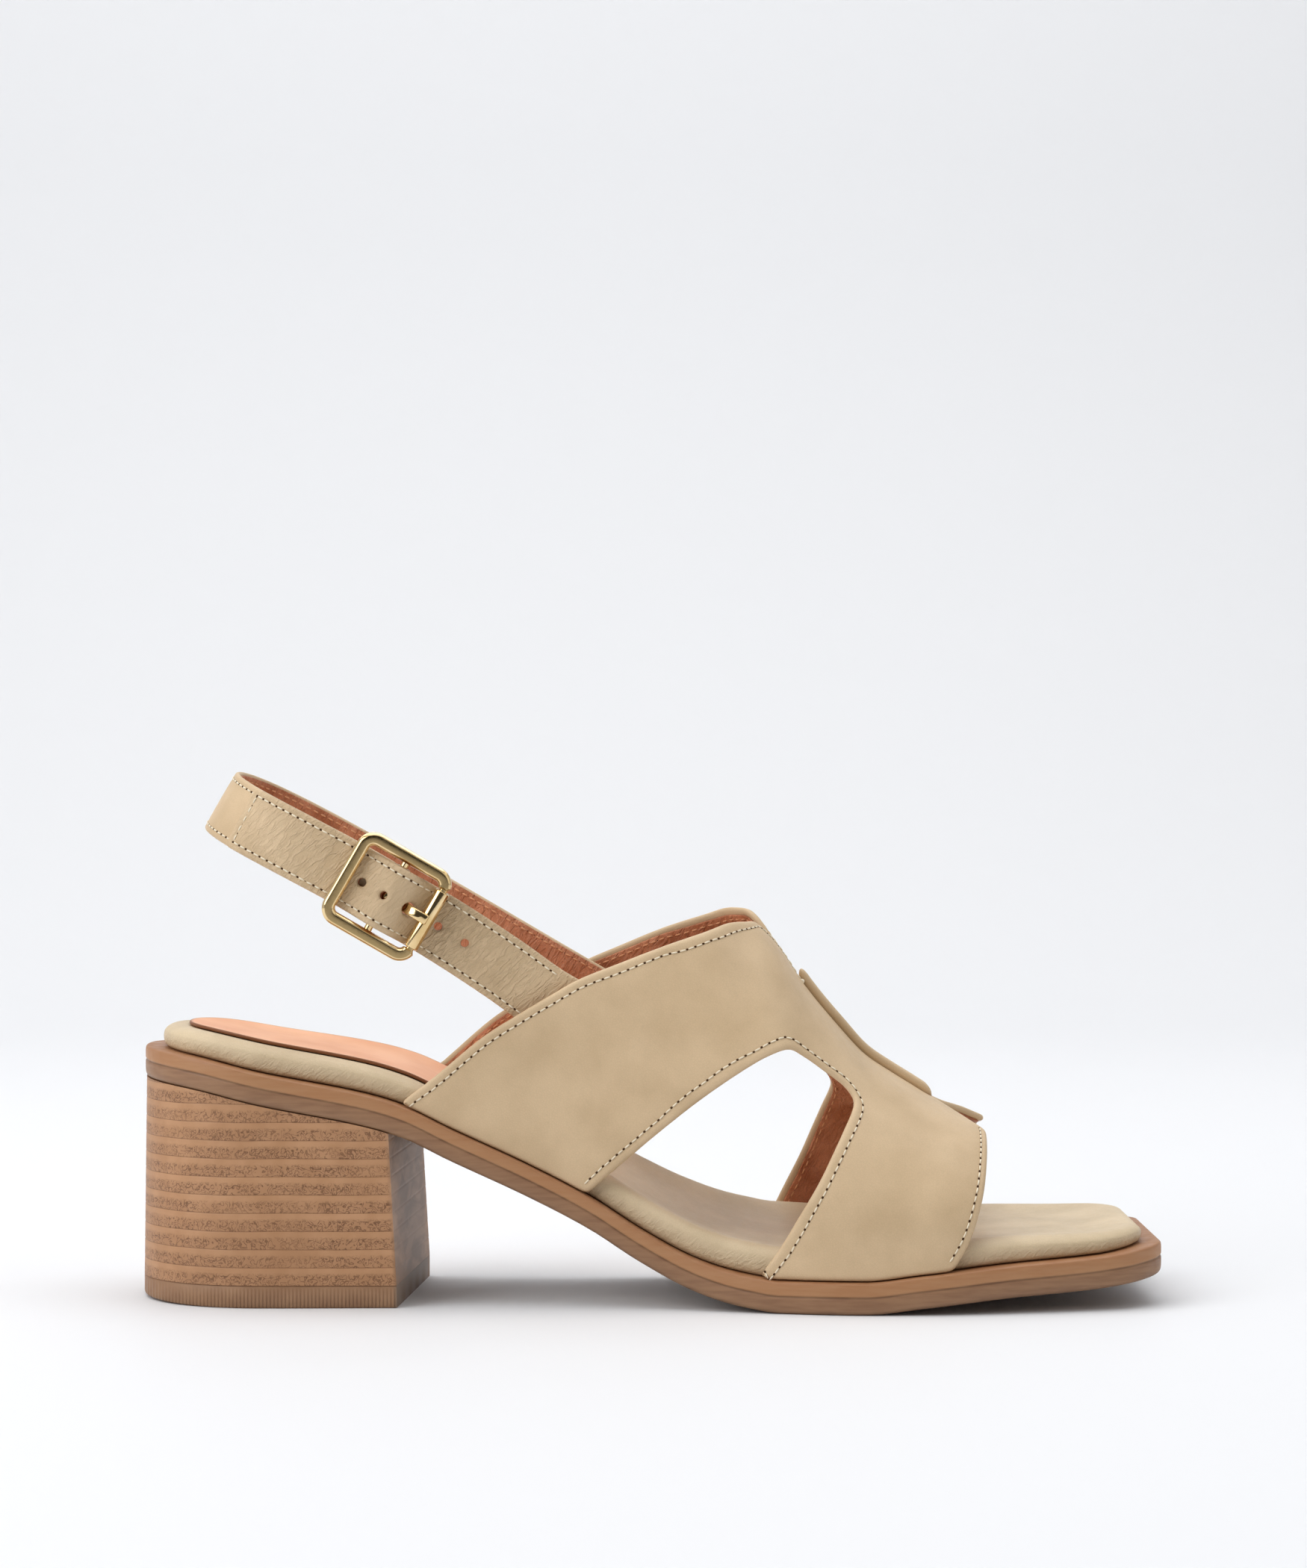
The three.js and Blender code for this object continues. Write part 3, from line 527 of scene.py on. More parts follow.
def upper_point(flat):
    """Points of the upper's outer face: x, and the length down from the ridge, negative on the outer side."""
    x, down = flat[:, 0], flat[:, 1]
    side = np.where(down < 0, -1, 1)
    width, rim, rise, power, along = upper_section(side, x)
    reach = np.abs(down)
    below = np.maximum(reach - along[:, -1], 0)
    reach = np.minimum(reach, along[:, -1])
    i = np.clip((along < reach[:, None]).sum(axis=1) - 1, 0, len(TURNS) - 2)
    row = np.arange(len(x))
    part = (reach - along[row, i]) / (along[row, i + 1] - along[row, i])
    angle = (1 - (i + part) / (len(TURNS) - 1)) * math.pi / 2
    angle = np.clip(angle, 0, math.pi / 2)
    y = side * width * np.cos(angle) ** power
    z = rim + rise * np.sin(angle) ** power - below
    return np.column_stack([x, y, z])


def down_at(side, x, angle_share, below=0.0):
    """Length down from the ridge to a share of the half section's quarter turn."""
    x = np.atleast_1d(np.asarray(x, dtype=float))
    along = upper_section(np.full(len(x), side), x)[4]
    place = np.clip(angle_share, 0, 1) * (len(TURNS) - 1)
    i = np.minimum(place.astype(int), len(TURNS) - 2)
    row = np.arange(len(x))
    part = place - i
    return side * (along[row, i] * (1 - part) + along[row, i + 1] * part + below)


def down_at_height(side, x, z):
    _, rim, rise, power, _ = upper_section(np.full(len(x), side), x)
    share = np.clip((z - rim) / rise, 0, 1) ** (1 / power)
    turn = 1 - np.arcsin(share) / (math.pi / 2)
    return down_at(side, x, turn, np.maximum(rim - z, 0))


def down_at_width(side, x, y):
    width, _, _, power, _ = upper_section(np.full(len(x), side), x)
    share = np.clip(np.abs(y) / width, 0, 1) ** (1 / power)
    turn = 1 - np.arccos(share) / (math.pi / 2)
    return down_at(side, x, turn)


# Meshes and panels

sole_low, sole_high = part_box("outsole")
MM = 0.001
# The sole's middle lies this far to the inner side of the foot's axis
OFF_AXIS = 0.3
ORIGIN = np.array([
    (sole_low[0] + sole_high[0]) / 2 / MM - LENGTH / 2,
    (sole_low[1] + sole_high[1]) / 2 / MM - OFF_AXIS,
    0,
])


def to_frame(points):
    return (np.asarray(points, dtype=float) + ORIGIN) * MM


def smooth_mesh(name, points, faces, look):
    mesh = bpy.data.meshes.new(name)
    mesh.from_pydata(to_frame(points).tolist(), [], [tuple(map(int, f)) for f in faces])
    mesh.polygons.foreach_set("use_smooth", np.ones(len(mesh.polygons), dtype=bool))
    mesh.materials.append(look)
    return mesh


def into_scene(name, data):
    made = bpy.data.objects.new(name, data)
    bpy.context.scene.collection.objects.link(made)
    return made


def make_piece(name, points, faces, look, slot, replaces=(), sharp=None,
               face_looks=None, other=None, values=None):
    """A piece of the shoe; other is a second material for the faces that face_looks marks."""
    mesh = smooth_mesh(name, points, faces, look)
    if other is not None:
        mesh.materials.append(other)
        mesh.polygons.foreach_set("material_index", np.asarray(face_looks, dtype=np.int32))
    for key, numbers in (values or {}).items():
        mesh.attributes.new(key, "FLOAT", "POINT").data.foreach_set("value", np.asarray(numbers, dtype=float))
    mesh.validate()
    mesh.update()
    if sharp is not None:
        mesh.set_sharp_from_angle(angle=math.radians(sharp))
    piece = into_scene(name, mesh)
    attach(piece, "root")
    if replaces:
        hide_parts(*replaces)
    return piece


def ladder(low, half, flip):
    """Faces across a closed ring whose k-th point lies across from the k-th point from its end."""
    count = 2 * half
    faces = []
    for k in range(half - 1):
        across = count - 1 - k
        quad = (low + k, low + k + 1, low + across - 1, low + across)
        faces.append(quad[::-1] if flip else quad)
    return faces


def joined(points, faces, more, more_faces):
    """Two bodies as one mesh."""
    return np.concatenate([points, more]), faces + [tuple(v + len(points) for v in f) for f in more_faces]


def ring_stack(rings, closed=False):
    """Rings of points joined into one body, capped unless it closes on itself."""
    count = len(rings[0])
    faces = []
    spans = len(rings) if closed else len(rings) - 1
    for r in range(spans):
        low = r * count
        high = ((r + 1) % len(rings)) * count
        for k in range(count):
            n = (k + 1) % count
            faces.append((low + k, low + n, high + n, high + k))
    if not closed:
        faces += ladder(0, count // 2, True)
        faces += ladder((len(rings) - 1) * count, count // 2, False)
    return np.concatenate(rings), faces


def distance_to(points, line, closed=False):
    """Distance in the flat from each point to a line."""
    a = line
    b = np.roll(line, -1, axis=0)
    if not closed:
        a, b = a[:-1], b[:-1]
    best = np.full(len(points), 1e9)
    for start in range(0, len(points), 2000):
        p = points[start:start + 2000, None, :]
        span = b - a
        t = ((p - a) * span).sum(axis=2) / np.maximum((span**2).sum(axis=1), 1e-12)
        t = np.clip(t, 0, 1)[..., None]
        near = np.linalg.norm(p - (a + t * span), axis=2)
        best[start:start + 2000] = near.min(axis=1)
    return best


def is_inside(points, loops):
    inside = np.zeros(len(points), dtype=bool)
    for loop in loops:
        a = loop
        b = np.roll(loop, -1, axis=0)
        for start in range(0, len(points), 4000):
            p = points[start:start + 4000]
            x, y = p[:, 0:1], p[:, 1:2]
            crosses = (a[:, 1] > y) != (b[:, 1] > y)
            rise = np.where(b[:, 1] == a[:, 1], 1, b[:, 1] - a[:, 1])
            at = a[:, 0] + (y - a[:, 1]) / rise * (b[:, 0] - a[:, 0])
            inside[start:start + 4000] ^= ((crosses & (x < at)).sum(axis=1) % 2).astype(bool)
    return inside


def resample(line, step, closed=False):
    if closed:
        line = np.concatenate([line, line[:1]])
    steps = np.linalg.norm(np.diff(line, axis=0), axis=1)
    keep = np.append(True, steps > 1e-6)
    line = line[keep]
    along = lengths_along(line)
    count = max(3, int(round(along[-1] / step)))
    at = np.linspace(0, along[-1], count + 1)
    made = np.column_stack([np.interp(at, along, line[:, c]) for c in range(line.shape[1])])
    return made[:-1] if closed else made


def smooth_loop(loop, passes):
    for _ in range(passes):
        loop = loop / 2 + (np.roll(loop, 1, axis=0) + np.roll(loop, -1, axis=0)) / 4
    return loop


def signed_area(loop):
    x, y = loop[:, 0], loop[:, 1]
    return ((x * np.roll(y, -1)) - (np.roll(x, -1) * y)).sum() / 2


def loop_normals(loop):
    """Directions into the material, which lies to the left of the loop."""
    along = unit(np.roll(loop, -1, axis=0) - np.roll(loop, 1, axis=0))
    return np.stack([-along[:, 1], along[:, 0]], axis=1)


def facing(surface, flat, outward):
    """Outward normals of a surface over its flat plan."""
    h = 0.05
    du = surface(flat + [h, 0]) - surface(flat - [h, 0])
    dv = surface(flat + [0, h]) - surface(flat - [0, h])
    return unit(np.cross(du, dv) * outward)


def fill(loops, rows, spacing):
    """Points and triangles of a flat region: its loops, dense rows along them, and an even filling."""
    corners = np.concatenate(loops)
    edges = []
    low = 0
    for loop in loops:
        edges += [(low + k, low + (k + 1) % len(loop)) for k in range(len(loop))]
        low += len(loop)
    extra = []
    normals = [loop_normals(loop) for loop in loops]
    for d in rows:
        row = np.concatenate([loop + n * d for loop, n in zip(loops, normals)])
        far = np.min([distance_to(row, loop, True) for loop in loops], axis=0)
        extra.append(row[(far > 0.93 * d) & is_inside(row, loops)])
    lo = corners.min(axis=0)
    hi = corners.max(axis=0)
    across = np.arange(lo[0], hi[0], spacing)
    up = np.arange(lo[1], hi[1], spacing * 0.87)
    grid = np.array([(x + (j % 2) * spacing / 2, y) for j, y in enumerate(up) for x in across])
    grid = grid[is_inside(grid, loops)]
    far = np.min([distance_to(grid, loop, True) for loop in loops], axis=0)
    extra.append(grid[far > (rows[-1] if len(rows) else 0) + 0.6 * spacing])
    points = np.concatenate([corners] + extra)
    made = delaunay_2d_cdt([tuple(p) for p in points], edges, [], 0, 1e-7)
    loose = [k for k, ids in enumerate(made[3]) if not ids]
    points = np.concatenate([points, np.array([tuple(made[0][k]) for k in loose]).reshape(-1, 2)])
    origin = [ids[0] if ids else len(points) - len(loose) + loose.index(k) for k, ids in enumerate(made[3])]
    faces = np.array([[origin[v] for v in f] for f in made[2]])
    faces = faces[is_inside(points[faces].mean(axis=1), loops)]
    a, b, c = points[faces[:, 0]], points[faces[:, 1]], points[faces[:, 2]]
    turn = (b[:, 0] - a[:, 0]) * (c[:, 1] - a[:, 1]) - (b[:, 1] - a[:, 1]) * (c[:, 0] - a[:, 0])
    faces[turn < 0] = faces[turn < 0][:, ::-1]
    return points, faces


def panel(surface, loops, depth=0.0, wall=1.0, outward=1, rows=(), spacing=1.5, steps=6, relief=None):
    """A sheet with a wall and round edges. Returns its points, its faces and each point's flat place."""
    radius = wall / 2
    loops = [loop if (signed_area(loop) > 0) == (k == 0) else loop[::-1] for k, loop in enumerate(loops)]
    pushed = [loop + loop_normals(loop) * radius for loop in loops]
    flat, tris = fill(pushed, rows, spacing)
    normal = facing(surface, flat, outward)
    base = surface(flat)
    top = np.zeros(len(flat)) if relief is None else relief(flat)
    size = len(flat)
    points = [base - normal * (depth - top)[:, None], base - normal * (depth + wall)]
    plans = [flat, flat]
    faces = [tris if outward > 0 else tris[:, ::-1]]
    faces.append((tris[:, ::-1] if outward > 0 else tris) + size)
    start = 2 * size
    first = 0
    for loop in loops:
        count = len(loop)
        normals = loop_normals(loop)
        rings = [np.arange(first, first + count)]
        for s in range(1, steps):
            turn = math.pi / 2 - math.pi * s / steps
            plan = loop + normals * radius * (1 - math.cos(turn))
            n = facing(surface, plan, outward)
            deep = depth + radius * (1 - math.sin(turn))
            edge_top = top[first:first + count] * (1 - s / steps)
            points.append(surface(plan) - n * (deep - edge_top)[:, None])
            plans.append(plan)
            rings.append(np.arange(start, start + count))
            start += count
        rings.append(np.arange(first, first + count) + size)
        for a, b in zip(rings[:-1], rings[1:]):
            an, bn = np.roll(a, -1), np.roll(b, -1)
            quads = np.stack([a, b, bn, an], axis=1)
            faces.append(quads if outward > 0 else quads[:, ::-1])
        first += count
    faces = [tuple(f) for part in faces for f in part.tolist()]
    return np.concatenate(points), faces, np.concatenate(plans)


# Materials

def set_inputs(node, settings):
    for key, value in settings.items():
        node.inputs[key].default_value = value


class Look:
    """A procedural material, built up node by node."""

    def __init__(self, name, colour, roughness, metallic=0.0, specular=0.5, sheen=0.0):
        self.material = bpy.data.materials.new(name)
        self.material.use_nodes = True
        self.tree = self.material.node_tree
        self.shader = self.tree.nodes["Principled BSDF"]
        set_inputs(self.shader, {
            "Base Color": (*colour, 1), "Roughness": roughness, "Metallic": metallic,
            "Specular IOR Level": specular, "Sheen Weight": sheen,
        })
        self.place = self.node("ShaderNodeTexCoord").outputs["Object"]
        self.bumps = None

    def node(self, kind, **settings):
        made = self.tree.nodes.new(kind)
        for key, value in settings.items():
            setattr(made, key, value)
        return made

    def link(self, start, end):
        self.tree.links.new(start, end)

    def value(self, socket, what):
        if isinstance(what, (int, float)):
            socket.default_value = what
        elif isinstance(what, tuple):
            socket.default_value = (*what, 1)
        else:
            self.link(what, socket)

    def stretched(self, x, y, z, turn=(0, 0, 0)):
        """The object's own place, turned and then scaled along each axis."""
        mapping = self.node("ShaderNodeMapping")
        self.link(self.place, mapping.inputs["Vector"])
        mapping.inputs["Rotation"].default_value = turn
        scaled = self.node("ShaderNodeVectorMath", operation="MULTIPLY")
        self.link(mapping.outputs["Vector"], scaled.inputs[0])
        scaled.inputs[1].default_value = (x, y, z)
        return scaled.outputs["Vector"]

    def noise(self, size_mm, detail=2.0, rough=0.5, distortion=0.0, where=None):
        made = self.node("ShaderNodeTexNoise")
        self.link(where or self.place, made.inputs["Vector"])
        scale = 1 / (size_mm * MM)
        set_inputs(made, {"Scale": scale, "Detail": detail, "Roughness": rough, "Distortion": distortion})
        return made.outputs["Fac"]

    def cloudy(self, size_mm, dark, light, detail=3):
        """A colour that drifts from a dark tone to a light one."""
        return self.mix(self.ramp(self.noise(size_mm, detail=detail), (0.35, 0), (0.65, 1)), dark, light)

    def cells(self, size_mm, feature="F1"):
        made = self.node("ShaderNodeTexVoronoi", feature=feature)
        self.link(self.place, made.inputs["Vector"])
        made.inputs["Scale"].default_value = 1 / (size_mm * MM)
        return made.outputs["Distance"]

    def axis(self, name):
        split = self.node("ShaderNodeSeparateXYZ")
        self.link(self.place, split.inputs[0])
        return split.outputs[name]

    def near(self, point, radius_mm):
        """1 close to a point of the shoe, 0 further off than a radius."""
        made = self.node("ShaderNodeVectorMath", operation="DISTANCE")
        self.link(self.place, made.inputs[0])
        made.inputs[1].default_value = to_frame(point)
        share = self.math("DIVIDE", made.outputs["Value"], radius_mm * MM)
        return self.ramp(share, (0.0, 1), (0.75, 1), (1.0, 0))

    def number(self, key):
        return self.node("ShaderNodeAttribute", attribute_name=key).outputs["Fac"]

    def math(self, operation, a, b=0.0):
        made = self.node("ShaderNodeMath", operation=operation)
        self.value(made.inputs[0], a)
        self.value(made.inputs[1], b)
        return made.outputs[0]

    def ramp(self, fac, *stops):
        """A grey ramp, or one of colours: pairs of place and value."""
        made = self.node("ShaderNodeValToRGB")
        self.link(fac, made.inputs["Fac"])
        band = made.color_ramp
        while len(band.elements) < len(stops):
            band.elements.new(0.5)
        for element, (at, value) in zip(band.elements, stops):
            element.position = at
            element.color = (*value, 1) if isinstance(value, tuple) else (value, value, value, 1)
        return made.outputs["Color"]

    def mix(self, fac, a, b, blend="MIX"):
        made = self.node("ShaderNodeMix", data_type="RGBA", blend_type=blend)
        for key, what in (("Factor", fac), ("A", a), ("B", b)):
            self.value(made.inputs[key], what)
        return made.outputs["Result"]

    def bump(self, height, strength, depth_mm):
        made = self.node("ShaderNodeBump")
        set_inputs(made, {"Strength": strength, "Distance": depth_mm * MM})
        self.link(height, made.inputs["Height"])
        if self.bumps is not None:
            self.link(self.bumps, made.inputs["Normal"])
        self.bumps = made.outputs["Normal"]
        self.link(self.bumps, self.shader.inputs["Normal"])

    def colour(self, socket):
        self.link(socket, self.shader.inputs["Base Color"])

    def roughness(self, socket):
        self.link(socket, self.shader.inputs["Roughness"])


def rgb(red, green, blue):
    """A colour seen on the object, 0 to 255, as a linear value."""
    def linear(value):
        value /= 255
        return value / 12.92 if value <= 0.04045 else ((value + 0.055) / 1.055) ** 2.4
    return linear(red), linear(green), linear(blue)


def shade(tone, change):
    """A tone made lighter or darker."""
    return rgb(*(c + change for c in tone))


def beige_leather(name="beige_leather", tone=(211, 184, 147), wrinkled=False):
    look = Look(name, rgb(*tone), 0.46, specular=0.4)
    colour = look.cloudy(14, shade(tone, -9), shade(tone, 4))
    grain = look.cells(0.55, "DISTANCE_TO_EDGE")
    pores = look.ramp(grain, (0.0, 0.86), (0.16, 1))
    colour = look.mix(0.45, colour, pores, "MULTIPLY")
    if wrinkled:
        # Fine wrinkles that lean across a strap, as strong as the piece's own "worn" says; the colour darkens
        # in their folds as painted shade
        lean = look.stretched(1.0, 1.0, 0.28, turn=(0, math.radians(-SLING_ANGLE - 18), 0))
        wrinkles = look.noise(0.9, detail=3, distortion=0.9, where=lean)
        folds = look.math("MULTIPLY", look.ramp(wrinkles, (0.4, 0), (0.58, 1)), look.number("worn"))
        # Painted shade in the folds of the wrinkles
        colour = look.mix(look.math("MULTIPLY", folds, 0.35), colour, shade(tone, -50))
        look.bump(folds, 1.0, -0.3)
    look.colour(colour)
    look.roughness(look.ramp(look.noise(1.5), (0.3, 0.42), (0.7, 0.54)))
    look.bump(look.noise(2.6, detail=2), 0.25, 0.12)
    look.bump(look.ramp(grain, (0.0, 0), (0.22, 1)), 0.28, 0.05)
    look.bump(look.noise(0.25, detail=2), 0.15, 0.03)
    return look.material


def lining_leather():
    tone = (198, 128, 90)
    look = Look("lining_leather", rgb(*tone), 0.5, specular=0.35)
    colour = look.cloudy(7, shade(tone, -22), shade(tone, 10))
    grain = look.cells(0.7, "DISTANCE_TO_EDGE")
    colour = look.mix(0.5, colour, look.ramp(grain, (0.0, 0.7), (0.15, 1)), "MULTIPLY")
    look.colour(colour)
    across = look.stretched(1.0, 1.0, 0.3, turn=(0, math.radians(-SLING_ANGLE), 0))
    creases = look.ramp(look.noise(1.6, detail=3, distortion=1.0, where=across), (0.4, 0), (0.6, 1))
    look.bump(creases, 0.8, 0.35)
    look.bump(look.noise(2.2, detail=3, distortion=0.4), 0.5, 0.3)
    look.bump(look.ramp(grain, (0.0, 0), (0.2, 1)), 0.35, 0.06)
    return look.material


def sock_leather():
    look = Look("sock_leather", rgb(240, 176, 132), 0.45, specular=0.3)
    colour = look.cloudy(18, rgb(232, 166, 122), rgb(246, 188, 146))
    look.colour(look.mix(look.number("edge"), colour, rgb(128, 80, 50)))
    look.bump(look.noise(1.2, detail=3), 0.3, 0.08)
    look.bump(look.cells(0.5), 0.15, 0.04)
    return look.material


def sole_rubber():
    look = Look("sole_rubber", rgb(152, 110, 84), 0.5, specular=0.4)
    level = look.number("level")
    # Two tones for the sole's two layers, with painted shade: darker where the bottom edge turns under and in
    # the side groove
    layer_tones_and_shade = look.ramp(
        level,
        (0.0, rgb(108, 80, 58)),
        (0.12, rgb(136, 101, 74)),
        (0.5, rgb(138, 101, 74)),
        (0.55, rgb(106, 74, 50)),
        (0.6, rgb(170, 122, 82)),
        (0.9, rgb(166, 118, 80)),
        (1.0, rgb(154, 106, 70)),
    )
    streaks = look.noise(1.0, detail=3, where=look.stretched(0.12, 0.12, 1))
    colour = look.mix(look.ramp(streaks, (0.35, 0.0), (0.65, 0.25)), layer_tones_and_shade, rgb(186, 146, 108))
    look.colour(colour)
    look.roughness(look.ramp(look.noise(3), (0.3, 0.42), (0.7, 0.58)))
    look.bump(streaks, 0.2, 0.06)
    look.bump(look.noise(0.4, detail=2), 0.2, 0.04)
    return look.material


def heel_stack():
    look = Look("heel_stack", rgb(178, 134, 98), 0.5, specular=0.35)
    wave = look.math("MULTIPLY", look.math("SUBTRACT", look.noise(16, detail=1), 0.5), 0.5 * MM)
    height = look.math("ADD", look.axis("Z"), wave)
    layers = look.math("DIVIDE", look.math("SUBTRACT", height, TOP_PIECE * MM), STACK_PITCH * MM)
    share = look.math("FRACT", layers)
    # One layer upwards: a fine seam line, rough grain, a smooth strip
    strip = look.ramp(share, (0.0, 0), (0.1, 0.2), (0.5, 0), (0.72, 1), (0.98, 1), (1.0, 0))
    seam = look.ramp(share, (0.0, 1), (0.035, 0), (0.96, 0), (0.985, 1), (1.0, 1))
    worms = look.noise(1.45, detail=0.4, rough=0.5, distortion=1.8)
    lines = look.ramp(worms, (0.4, 0), (0.44, 1), (0.5, 1), (0.54, 0))
    patches = look.ramp(look.noise(7, detail=2, where=look.stretched(0.45, 0.45, 1)), (0.34, 0.6), (0.5, 1))
    lines = look.math("MULTIPLY", lines, patches)
    base = look.cloudy(5, rgb(179, 134, 96), rgb(189, 144, 106))
    grain_tone = look.mix(look.math("MULTIPLY", patches, 0.45), base, rgb(158, 114, 80))
    grain_tone = look.mix(look.math("MULTIPLY", lines, 0.95), grain_tone, rgb(112, 76, 52))
    colour = look.mix(strip, grain_tone, base)
    colour = look.mix(look.math("MULTIPLY", seam, 0.55), colour, rgb(118, 80, 52))
    colour = look.mix(look.ramp(look.noise(22, detail=2), (0.35, 0), (0.65, 0.2)), colour, rgb(150, 108, 74))
    breast = look.number("breast")
    waves = look.noise(5, detail=3, distortion=0.6, where=look.stretched(0.3, 0.3, 1))
    breast_tone = look.mix(look.ramp(waves, (0.4, 0), (0.6, 1)), rgb(146, 110, 82), rgb(174, 134, 102))
    look.colour(look.mix(breast, colour, breast_tone))
    side = look.math("SUBTRACT", 1.0, breast)
    grain = look.math("MULTIPLY", lines, look.math("SUBTRACT", 1.0, strip))
    look.bump(look.math("MULTIPLY", grain, side), 0.5, -0.1)
    look.bump(look.math("MULTIPLY", seam, side), 0.4, -0.1)
    look.bump(look.math("MULTIPLY", waves, breast), 0.25, 0.15)
    return look.material


def heel_rubber():
    look = Look("heel_rubber", rgb(150, 112, 84), 0.52, specular=0.35)
    colour = look.cloudy(6, rgb(142, 106, 78), rgb(154, 118, 88))
    colour = look.mix(look.number("breast"), colour, rgb(132, 108, 88))
    # Painted shade: a dark spot where the nick sits on the top piece's front edge
    colour = look.mix(look.near(NICK_SHADE_SPOT, NICK_SHADE_REACH), colour, rgb(52, 38, 28))
    look.colour(colour)
    # The fine tread that shows along the bottom edge
    ridges = look.math("SINE", look.math("MULTIPLY", look.axis("X"), 2 * math.pi / (TREAD_PITCH * MM)))
    look.bump(look.math("MULTIPLY", ridges, look.number("tread")), 1.0, 0.15)
    look.bump(look.noise(0.5, detail=2), 0.2, 0.04)
    return look.material


def gold_metal():
    look = Look("gold_metal", rgb(230, 202, 150), 0.12, metallic=1.0)
    colour = look.cloudy(4, rgb(222, 192, 138), rgb(238, 212, 164))
    # Painted reflection: the frame's flat front face is darker, as if the dark room behind the camera showed
    # in it
    look.colour(look.mix(look.number("face"), colour, rgb(172, 148, 104)))
    look.roughness(look.ramp(look.noise(0.8, detail=3), (0.3, 0.07), (0.7, 0.15)))
    look.bump(look.noise(0.35, detail=2), 0.05, 0.02)
    return look.material


def thread(name, tone):
    look = Look(name, rgb(*tone), 0.7, sheen=0.2)
    twist = look.noise(0.2, detail=1)
    look.colour(look.mix(twist, shade(tone, -18), rgb(*tone)))
    look.bump(twist, 0.4, 0.05)
    return look.material


def painted_hole_shade():
    # Painted shade: the dark inside of the needle holes
    look = Look("needle_hole_shade", rgb(70, 48, 30), 0.9, specular=0.1)
    look.colour(look.mix(look.noise(0.3), rgb(60, 40, 26), rgb(84, 60, 38)))
    return look.material


def studio_floor():
    look = Look("studio_floor", rgb(232, 233, 235), 0.6, specular=0.2)
    look.colour(look.mix(look.noise(900, detail=1), rgb(231, 232, 234), rgb(233, 234, 236)))
    return look.material


# Camera and stage

def make_camera():
    """A level camera: its focal length, horizon and height of picture in the picture's pixels."""
    eye = (125, -950, 130)
    focal = 5150
    horizon = 1025
    high, long_side = 2100, 36
    data = bpy.data.cameras.new("camera")
    data.sensor_width = long_side
    data.lens = focal / high * long_side
    data.clip_start = 0.01
    data.clip_end = 20
    camera = into_scene("camera", data)
    camera.location = to_frame(eye)
    camera.rotation_euler = (math.pi / 2 - math.atan((high / 2 - horizon) / focal), 0, 0)
    bpy.context.scene.camera = camera


def make_stage():
    """A floor that turns up into a backdrop far behind."""
    front, back, bend, reach = -2500, 900, 500, 3000
    profile = [(front, 0), (back, 0)]
    for a in np.linspace(0.1, math.pi / 2, 14):
        profile.append((back + bend * math.sin(a), bend * (1 - math.cos(a))))
    profile.append((back + bend, reach))
    points = [(side * reach + LENGTH / 2, y, z) for y, z in profile for side in (-1, 1)]
    faces = [(2 * k, 2 * k + 1, 2 * k + 3, 2 * k + 2) for k in range(len(profile) - 1)]
    into_scene("floor", smooth_mesh("floor", points, faces, studio_floor()))


def area_light(name, place, aim, size, power):
    data = bpy.data.lights.new(name, "AREA")
    data.shape = "RECTANGLE"
    data.size, data.size_y = size
    data.energy = power
    lamp = into_scene(name, data)
    start = to_frame(place)
    lamp.location = start
    lamp.rotation_euler = (Vector(to_frame(aim)) - Vector(start)).to_track_quat("-Z", "Y").to_euler()


def make_lights():
    middle = (LENGTH / 2, 0, 50)
    area_light("top", (60, 100, 1500), middle, (1.8, 1.8), 12.8)
    area_light("left", (-1100, -900, 900), middle, (1.2, 1.2), 14)
    area_light("right", (1300, -700, 700), middle, (1.2, 1.2), 2)
    area_light("backdrop", (125, 200, 1500), (125, 1400, 600), (3, 0.8), 9)
    world = bpy.data.worlds.new("studio")
    world.use_nodes = True
    tree = world.node_tree
    sky = tree.nodes["Background"]
    sky.inputs["Strength"].default_value = 0.6
    # The dark room behind the camera, which polished metal shows
    where = tree.nodes.new("ShaderNodeTexCoord")
    split = tree.nodes.new("ShaderNodeSeparateXYZ")
    tree.links.new(where.outputs["Generated"], split.inputs[0])
    ramp = tree.nodes.new("ShaderNodeMapRange")
    set_inputs(ramp, {"From Min": -1, "From Max": -0.25})
    tree.links.new(split.outputs["Y"], ramp.inputs["Value"])
    tone = tree.nodes.new("ShaderNodeValToRGB")
    tone.color_ramp.elements[0].color = (0.1, 0.095, 0.085, 1)
    tone.color_ramp.elements[0].position = 0.15
    tone.color_ramp.elements[1].color = (0.97, 0.975, 1, 1)
    tree.links.new(ramp.outputs["Result"], tone.inputs["Fac"])
    tree.links.new(tone.outputs["Color"], sky.inputs["Color"])
    bpy.context.scene.world = world
    bpy.context.scene.view_settings.view_transform = "Standard"


# Sole, heel and footbed

def make_outsole(look):
    steps = np.linspace(0, 14, 57)
    levels = follow(SOLE_SIDE_ROWS, "level", steps)
    insets = follow(SOLE_SIDE_ROWS, "inset", steps)
    rings = [
        sole_ring(i, lambda x, y, v=v: sole_bottom(x) + v * SOLE_THICKNESS)
        for v, i in zip(levels, insets)
    ]
    make_piece("outsole_moulded", *ring_stack(rings), look, "outsole", ("outsole",), sharp=50,
               values={"level": np.repeat(levels, len(rings[0]))})


